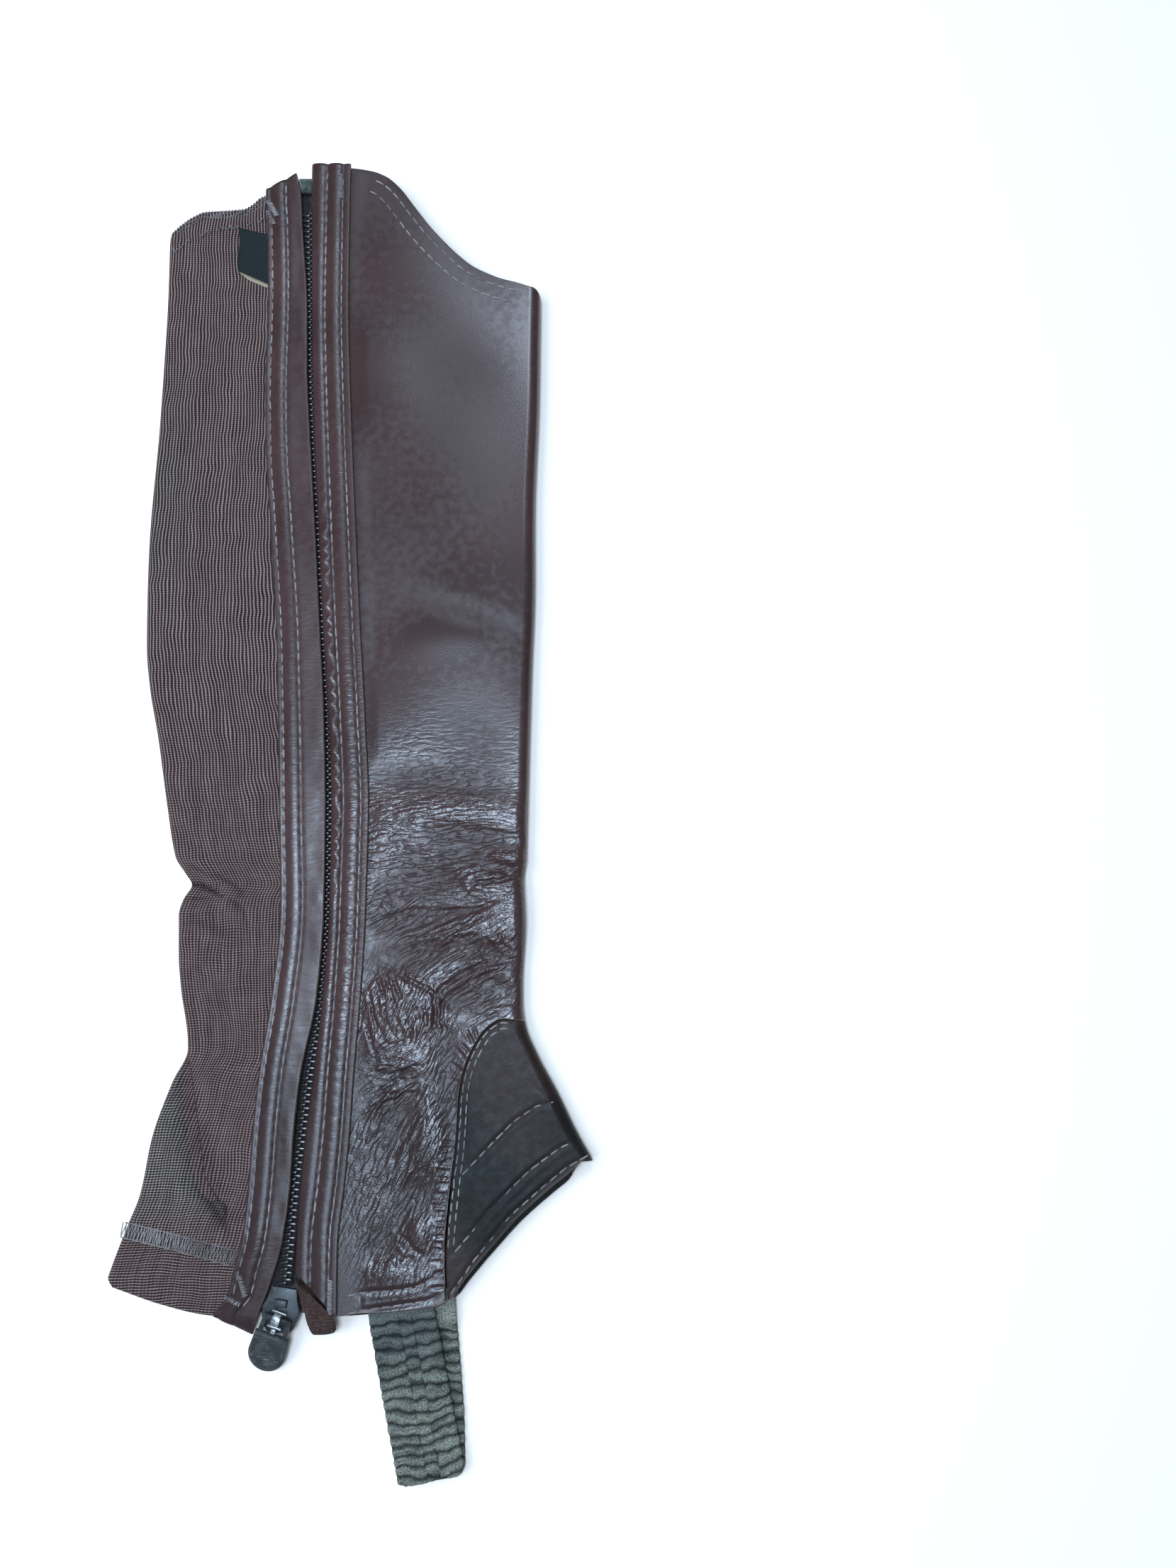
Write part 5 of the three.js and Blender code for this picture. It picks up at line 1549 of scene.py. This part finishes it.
base = mixed(tree, spread(tree, fibre, 0.35, 0.65), (0.02, 0.011, 0.0095), (0.085, 0.052, 0.046))
# Painted shade: the pits, sunk in the bump, are coloured darker.
base = mixed(tree, spread(tree, pits, 0.0, 0.25, 0.7, 0.0), base, (0.01, 0.005, 0.004))
to_shader(tree, base, None, [(fibre, 0.0003), (pits, 0.0002)])
dress(flap_end, suede, "zip_flap_end")

# ==== foot strap ============================================================================
# Flat elastic in a gathered cloth casing, sewn through in three channels so that the casing
# ruches between them. It loops under the foot, and its two ends go into the front and back hems.

STRAP_HALF, STRAP_THICKNESS, STRAP_PITCH, STRAP_ENDS = 12.4, 1.4, 4.1, 10
# The run: x, y, height, and how far in degrees its width leans from X.
STRAP_RUN = np.array(
    [
        (18.7, -198.5, 4.5, 10),
        (20.4, -208, 4.5, 11),
        (24, -225, 4.2, 11.5),
        (28.2, -245, 3.5, 11.5),
        (30.6, -256, 3.15, 11.5),
        (32, -263.1, 3.05, 11.5),
        (32.3, -265, 1.95, 11.5),
        (32.3, -263.1, 0.7, 11.5),
        (31.4, -245, 0.7, 7),
        (29.6, -225, 0.7, 5),
        (28.4, -214.2, 0.7, 4),
        (28, -209.4, 2.8, 4),
        (27, -198.5, 2.8, 4),
    ]
)
run = run_along(STRAP_RUN[:, 1:3])
along = np.unique(np.concatenate([np.arange(0, run[-1], 0.42), run]))
*centre, lean = point_on(STRAP_RUN, run, along).T
centre, lean = np.stack(centre, 1), np.radians(lean)
face_out = -beside(centre[:, 1:])
g = np.linspace(-1, 1, 60)[:, None]
channel = np.select([g < -0.1, g < 0.3], [0 * g, 0 * g + 1], 0 * g + 2)
uneven = np.sin(along / 5.3 + 2.4 * channel) + 0.7 * np.sin(along / 2.9 + 4 * channel + 1)
shift = 0.35 * uneven + np.select([channel == 1, channel == 2], [0 * g + 0.35, 0 * g - 0.2], 0 * g)
shift = shift - 0.5 * g - 1.1 * np.cos(np.pi * (g - 0.1)) * ease(20, 60, along)
shift = shift + 0.3 * np.sin(7 * g + along / 3.1) + 0.2 * np.sin(15 * g - along / 1.9)
shift = shift + 1.2 * np.sin(along / 8.7) + 0.5 * np.sin(along / 4.1 + 2 * g)
held = ease(STRAP_ENDS - 2, STRAP_ENDS, along)
held = held * ease(STRAP_ENDS + 2, STRAP_ENDS + 4, run[-1] - along)
gather = np.abs(np.sin(np.pi * (along[None, :] + shift) / STRAP_PITCH)) ** 0.45
half_gather = np.abs(np.sin(2 * np.pi * (along + 1.4 * shift + 1) / STRAP_PITCH)) ** 0.5
merge = 0.5 + 0.5 * np.sin(along / 6.1 + 3.3 * channel + 1.5 * g)
gather = gather * mix(1, 0.55 + 0.45 * half_gather, merge)
gather = gather * (1 - 0.2 * np.abs(np.sin(along / 3.7 + 5 * channel)))
pinch = 0.5 + 0.5 * np.sin(9.5 * g + 1.8 * np.sin(along / 2.3)) * np.sin(along / 1.7 + 3 * g)
sewn = np.minimum(bell(g + 0.1, 0.03) + bell(g - 0.3, 0.03), 1)
sewn = sewn * (0.45 + 0.35 * np.sin(along / 1.3 + 2 * g))
side_drop = 0.35 * np.clip((np.abs(g) - 0.93) / 0.07, 0, 1)
STRAP_BEND = 6  # the run's point where the strap turns under and its corners round off
corner = np.clip(1 - np.abs(along - run[STRAP_BEND]) / 3.2, 0, 1)
round_off = 0.16 * corner**2.5


def strap_face(face):
    upward = (face * face_out[:, 1] > 0.2)[None, :]
    swell = held * upward * (1.0 * gather + 0.22 * pinch - 0.25)
    swell = swell * (1 - 0.5 * sewn) * (1 - 0.3 * side_drop)
    out = face * (STRAP_THICKNESS / 2 + swell - side_drop)
    ruche = 1 + 0.035 * held * (gather - 0.6) * (np.abs(g) > 0.8)
    half = STRAP_HALF * (1 - round_off) * ruche
    x = centre[:, 0] + g * half * np.cos(lean)
    y = centre[:, 1] + g * half * np.sin(lean) + face_out[:, 0] * out
    z = centre[:, 2] + face_out[:, 1] * out
    return np.stack([x, y, z], -1)


outer, inner = strap_face(1), strap_face(-1)
strap_lay = np.stack([g * STRAP_HALF + 0 * along, along + 0 * g], -1)
# Painted shade: the troughs of the gathers and the sewn lines are coloured darker.
furrow = np.clip(np.clip(0.88 - gather, 0, 1) * held * 1.9 + 0.6 * sewn * held, 0, 1)
foot_strap = closed_shell("foot_strap_cloth", outer, inner, strap_lay, furrow=(furrow, furrow))
strap_cloth, tree = new_material("strap_elastic", (0.06, 0.07, 0.068), 0.9, Specular_IOR_Level=0.2)
lay = lay_place(tree)
furrow_shade_mask = kept_mask(tree, "furrow")
fuzz = noise(tree, lay, 1.6, 5, 0.7)
mottle = noise(tree, lay, 0.12, 4, 0.6)
base = mixed(tree, spread(tree, fuzz, 0.3, 0.7), (0.028, 0.039, 0.043), (0.35, 0.36, 0.29))
# Painted shadow: the strap is darker where it runs in under the hem.
hem_shadow = spread(tree, part_of(tree, lay, 1), 10.0, 46.0, 0.6, 0.0)
base = coated(
    tree,
    base,
    (hem_shadow, (0.034, 0.044, 0.055)),
    (spread(tree, mottle, 0.45, 0.7, 0.0, 0.5), (0.035, 0.045, 0.055)),
    (times(tree, furrow_shade_mask, 0.9), (0.004, 0.006, 0.009)),
)
to_shader(tree, base, None, [(fuzz, 0.0003)])
dress(foot_strap, strap_cloth, "foot_strap")

# ==== stitches ==============================================================================
# Lockstitched rows in a pale greyed polyester thread: two down each band, two round the top of
# the leather, the double row beside the cap's seam, its cross rows and the panel's hem.


def stitches_along(line, height, pitch=5.0, length=4.1, radius=0.33, seed=0):
    """Rods laid end to end on a surface along a line of (x, y); each dips in at both ends."""
    draw = np.random.default_rng(seed)
    line = np.asarray(line, float)
    run = run_along(line)
    rods = []
    for start in np.arange(0.6, run[-1] - length, pitch):
        size = length * draw.uniform(0.86, 1.06)
        at = start + size * np.array([0, 0.14, 0.5, 0.86, 1])
        x, y = point_on(line, run, at).T
        skew = draw.normal(0, 0.08) * np.array([-1, -0.8, 0, 0.8, 1])
        z = height(x, y) + radius * np.array([-0.9, 0.25, 0.55, 0.25, -0.9])
        rods.append((np.stack([x + skew, y, z], 1), radius * np.array([0.5, 0.95, 1, 0.95, 0.5])))
    return rods


def leather_face(x, y):
    """The worn leather's height at a point of the front."""
    share = leather_share(x, y)
    return leather_top(share, y) + loose(share) * leather_worn(x, y)


band_rods = []
for seed, (edge, offset, low, high, face) in enumerate(
    (
        (band_edge, LEFT_ROWS[0], -204, 238, left_band_top),
        (band_edge, LEFT_ROWS[1], -207, 258, left_band_top),
        (raw_edge, RIGHT_ROWS[0], -199, 264, right_band_top),
        (raw_edge, RIGHT_ROWS[1], -192, 261, right_band_top),
    ),
    start=1,
):
    y = np.linspace(high, low, 400)
    band_rods += stitches_along(np.stack([edge(y) + offset, y], 1), face, seed=seed)
band_stitches = rod_mesh("band_stitches", band_rods)

knee_rods = []
for n, set_in in enumerate((3.7, 9.3)):
    share = np.linspace(0.72, 0.0, 60)
    y = knee_edge(share)
    edge = np.stack([leather_x(share, y), y], 1)
    knee_rods += stitches_along(edge - set_in * beside(edge), leather_face, seed=10 + n)
knee_stitches = rod_mesh("knee_stitches", knee_rods)


def cap_face(x, y):
    return leather_face(x, y) + sewn_furrows(CAP_ROWS, CAP_FURROW_DEPTH, x, y)


cap_rods = []
for n, row in enumerate(CAP_ROWS):
    cap_rods += stitches_along(row, cap_face, 4.6, 3.8, seed=20 + n)
share = np.linspace(0.01, CAP_SHARE - 0.02, 60)
y = cap_seam(share)
seam = np.stack([leather_x(share, y), y], 1)
for n, offset in enumerate((1.3, 3.4)):
    cap_rods += stitches_along(seam + offset * beside(seam), cap_face, 4.4, 3.7, 0.3, seed=24 + n)
cap_stitches = rod_mesh("cap_stitches", cap_rods)

hem_rods = []
for n, row in enumerate(HEM_ROWS):
    hem_rods += stitches_along(row, leather_face, 4.2, 3.6, seed=30 + n)
hem_stitches = rod_mesh("hem_stitches", hem_rods)


def thread_rod(line, face, lifts, radii):
    """A rod along a line of (x, y), lifted off a surface by so much at each point."""
    line = np.asarray(line)
    z = face(line[:, 0], line[:, 1]) + np.array(lifts)
    return np.column_stack([line, z]), radii


def bar_tack(start, end, width, height, count, seed=0):
    """A dense zigzag of thread from start to end."""
    draw = np.random.default_rng(seed)
    start, end = np.array(start, float), np.array(end, float)
    ahead = (end - start) / np.hypot(*(end - start))
    across = np.array([-ahead[1], ahead[0]]) * width / 2
    rods = []
    for n in range(count):
        middle = mix(start, end, (n + draw.uniform(0.3, 0.7)) / count)
        skew = ahead * draw.uniform(0.1, 0.5)
        ends = (middle - across - skew, middle + across + skew)
        line = [mix(*ends, v) for v in (0, 0.2, 0.5, 0.8, 1)]
        lifts, radii = (-0.2, 0.25, 0.4, 0.25, -0.2), (0.2, 0.26, 0.28, 0.26, 0.2)
        rods.append(thread_rod(line, height, lifts, radii))
    return rods


tack_rods = []
for seed, (start, end, width, face, count) in enumerate(
    (
        ((-6.2, -193.6), (-6.1, -206), 2.3, right_band_top, 24),
        ((-40.9, -192.6), (-38.4, -200.2), 2.2, left_band_top, 13),
        ((-46.4, -200.4), (-40.2, -203.4), 1.8, left_band_top, 8),
        ((-48.6, 249.8), (-44.4, 242.1), 2.4, left_band_top, 12),
        ((-48.9, 245), (-45.6, 238.6), 1.8, left_band_top, 9),
        ((-17.4, 262.4), (-16.8, 250.6), 2.0, right_band_top, 17),
    ),
    start=41,
):
    tack_rods += bar_tack(start, end, width, face, count, seed)
# A loose tuft and a pulled loop on the right band's outer row.
for n in range(7):
    turn = 0.4 + n * 0.83
    place = np.array((0.4, -42.1))
    far = place + (1.1 + 0.25 * (n % 3)) * np.array([math.cos(turn), 0.7 * math.sin(turn)])
    line = [mix(place, far, v) for v in (0, 0.35, 0.7, 1)]
    lifts, radii = (0.2, 0.8, 0.9, 0.5), (0.16, 0.16, 0.14, 0.08)
    tack_rods.append(thread_rod(line, right_band_top, lifts, radii))
bar_tacks = rod_mesh("bar_tacks", tack_rods, 5)


def knit_face(x, y):
    """Height of the front knit's outer face at a point."""
    share = np.clip((x - knit_start(y)) / knit_reach(y), 0, 1)
    return knit_point(0 * share, share, 0 * share + math.pi / 2, y, 0)[..., 2]


# The knit's top edge is overlocked, and a loose looping row holds its turning below.
EDGE_PITCH, EDGE_DEEP = 1.45, 3.0
share = np.linspace(0.0, 0.97, 200)
y = knit_top(share)
edge = np.stack([knit_start(y) + share * knit_reach(y), y], 1)
run, left = run_along(edge), beside(edge)
draw = np.random.default_rng(50)
edge_rods = []
for start in np.arange(0.2, run[-1] - 1.5, EDGE_PITCH):
    at, out = (point_on(line, run, start) for line in (edge, left))
    way = np.array([out[1], -out[0]])
    deep = EDGE_DEEP * draw.uniform(0.85, 1.1)
    steps = [(0.0, 0.3), (0.1, 0.35), (0.5, -0.5), (1.2, -deep), (1.3, -deep - 0.2)]
    line = np.array([at + way * a + out * b for a, b in steps])
    within = lambda x, y: knit_face(x, np.minimum(y, at[1] - 0.1))
    lifts, radii = (-1.1, -0.1, 0.3, 0.15, -0.2), (0.2, 0.24, 0.24, 0.2, 0.16)
    edge_rods.append(thread_rod(line, within, lifts, radii))
edge_rods += stitches_along(edge - EDGE_DEEP * left, knit_face, 1.5, 1.3, 0.2, seed=51)
LOOPS = [(-88.7, 228.3), (-86.4, 230), (-82.9, 232.4), (-77.3, 234.8), (-74.6, 236.2)]
LOOPS += [(-70.8, 237.6), (-68.4, 238), (-66.3, 238.1), (-64.2, 238.5), (-62.2, 238.5)]
LOOPS += [(-57.3, 239.8), (-52.4, 241.6)]
LOOP = np.array([(-1.3, 1.2), (-0.6, 0.1), (0, -1.0), (0.5, 0.0), (1.1, 1.0), (1.4, 0.4)])
for n, place in enumerate(LOOPS):
    shape = LOOP * draw.uniform(0.7, 1.2)
    shape[:, 0] *= 1 if n % 2 else -1
    lifts, radii = (-0.1, 0.4, 0.5, 0.45, 0.4, -0.1), (0.15, 0.22, 0.22, 0.22, 0.2, 0.14)
    edge_rods.append(thread_rod(np.array(place) + shape, knit_face, lifts, radii))
knit_edge = rod_mesh("knit_edge_stitches", edge_rods, 5)

# The knit's hem is turned up and covered by a wide flat stitch.
COVER_TOP = [(-86.2, -173.8), (-64, -178.6), (-42, -184.2)]
COVER_LOW = [(-87.4, -179.4), (-65, -184.4), (-43.6, -189.9)]
ZIGS = 36


def on_cover(share_along, share_down):
    ends = (point_on(line, (0, 0.5, 1), share_along) for line in (COVER_TOP, COVER_LOW))
    return mix(*ends, share_down)


cover_rods = []
for n in range(ZIGS):
    for first, second, low_share, high_share in ((0, 0.42, 0, 1), (0.42, 1, 1, 0)):
        jitter = draw.uniform(-0.3, 0.3, 2)
        a, b = (n + first + jitter[0]) / ZIGS, (n + second + jitter[1]) / ZIGS
        steps = (0, 0.15, 0.5, 0.85, 1)
        line = [on_cover(mix(a, b, v), mix(low_share, high_share, v)) for v in steps]
        lifts, radii = (0.05, 0.3, 0.42, 0.3, 0.05), (0.14, 0.2, 0.21, 0.2, 0.14)
        cover_rods.append(thread_rod(line, knit_face, lifts, radii))
for share_down in (0.02, 0.98):
    row = np.array([on_cover(v, share_down) for v in np.linspace(0, 1, 40)])
    cover_rods += stitches_along(row, knit_face, 1.15, 1.25, 0.24, seed=52)
hem_cover = rod_mesh("knit_hem_stitches", cover_rods, 5)

thread, tree = new_material("thread", (0.3, 0.28, 0.28), 0.7)
lay = lay_place(tree)
twist = {"Vector": mapped(tree, lay, (1, 1), 0.6), "Scale": 0.9, "Distortion": 0.4}
twist = add_node(tree, "TexWave", 1, twist)
place = add_node(tree, "TexCoord", "Object")
worn = noise(tree, place, 60, 3, 0.6)
base = mixed(tree, spread(tree, worn, 0.35, 0.65), (0.2, 0.18, 0.18), (0.42, 0.4, 0.4))
base = mixed(tree, times(tree, twist, 0.35), base, (0.1, 0.085, 0.085))
to_shader(tree, base, None, [(twist, 0.00008)])
for rows in (
    band_stitches, knee_stitches, cap_stitches, hem_stitches, bar_tacks, knit_edge, hem_cover
):
    dress(rows, thread)

# ==== label =================================================================================
# A blank label of dark satin tape, folded into a loop and caught under the left band. Its lower
# mouth stands a little open and shows the pale inside.

LABEL_WALL, LABEL_FOLD, LABEL_ROUND = 0.28, -60.8, 0.55
label_top = table([(-61, 237.6), (-47, 233.9)])
label_low = table([(-61, 217.5), (-53, 213.4), (-47, 210.8)])
side, along, angle = folded_columns(np.linspace(1, 0, 9), np.linspace(0, 1, 9), 8)


def label_wall(deep):
    """The loop's wall at a depth inside its outer face."""
    reach = band_edge(225) + 1.5 - LABEL_FOLD
    x = LABEL_FOLD + LABEL_ROUND + along * (reach - LABEL_ROUND)
    low = label_low(x) - 1.3 * ease(0, 0.3, along) * (side == 2)
    y = mix(low, label_top(x), np.linspace(0, 1, 26)[None, :])
    x = x + 0 * y
    mouth = ease(5, 0, y - label_low(x)) * np.sin(np.pi * np.clip(along, 0, 1))
    base = knit_face(x, y) + 0.75
    lift = np.sin(angle) * (LABEL_ROUND + 0.45 * mouth - deep)
    x = x - (LABEL_ROUND - deep) * np.cos(angle)
    return np.stack([x, y, base + lift + 0.4 * mouth], -1)


outer, inner = label_wall(0), label_wall(LABEL_WALL)
outside = np.ones(outer.shape[:2])
side_label = closed_shell("side_label_cloth", outer, inner, lay_of(outer), outside=outside)
label_cloth, tree = new_material("label_cloth", (0.012, 0.018, 0.02), 0.6, Specular_IOR_Level=0.25)
lay = lay_place(tree)
wale = maths(tree, "SINE", times(tree, part_of(tree, lay, 1), 2 * math.pi / 0.35))
lint = noise(tree, lay, 1.2, 5, 0.7)
base = mixed(tree, spread(tree, lint, 0.4, 0.75), (0.005, 0.01, 0.012), (0.013, 0.02, 0.022))
inside = rest_of(tree, kept_mask(tree, "outside"))
base = mixed(tree, inside, base, (0.32, 0.27, 0.2))
to_shader(tree, base, None, [(wale, 0.00003), (lint, 0.00005)])
dress(side_label, label_cloth, "side_label")

# ==== sizes and end =========================================================================

low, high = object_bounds()
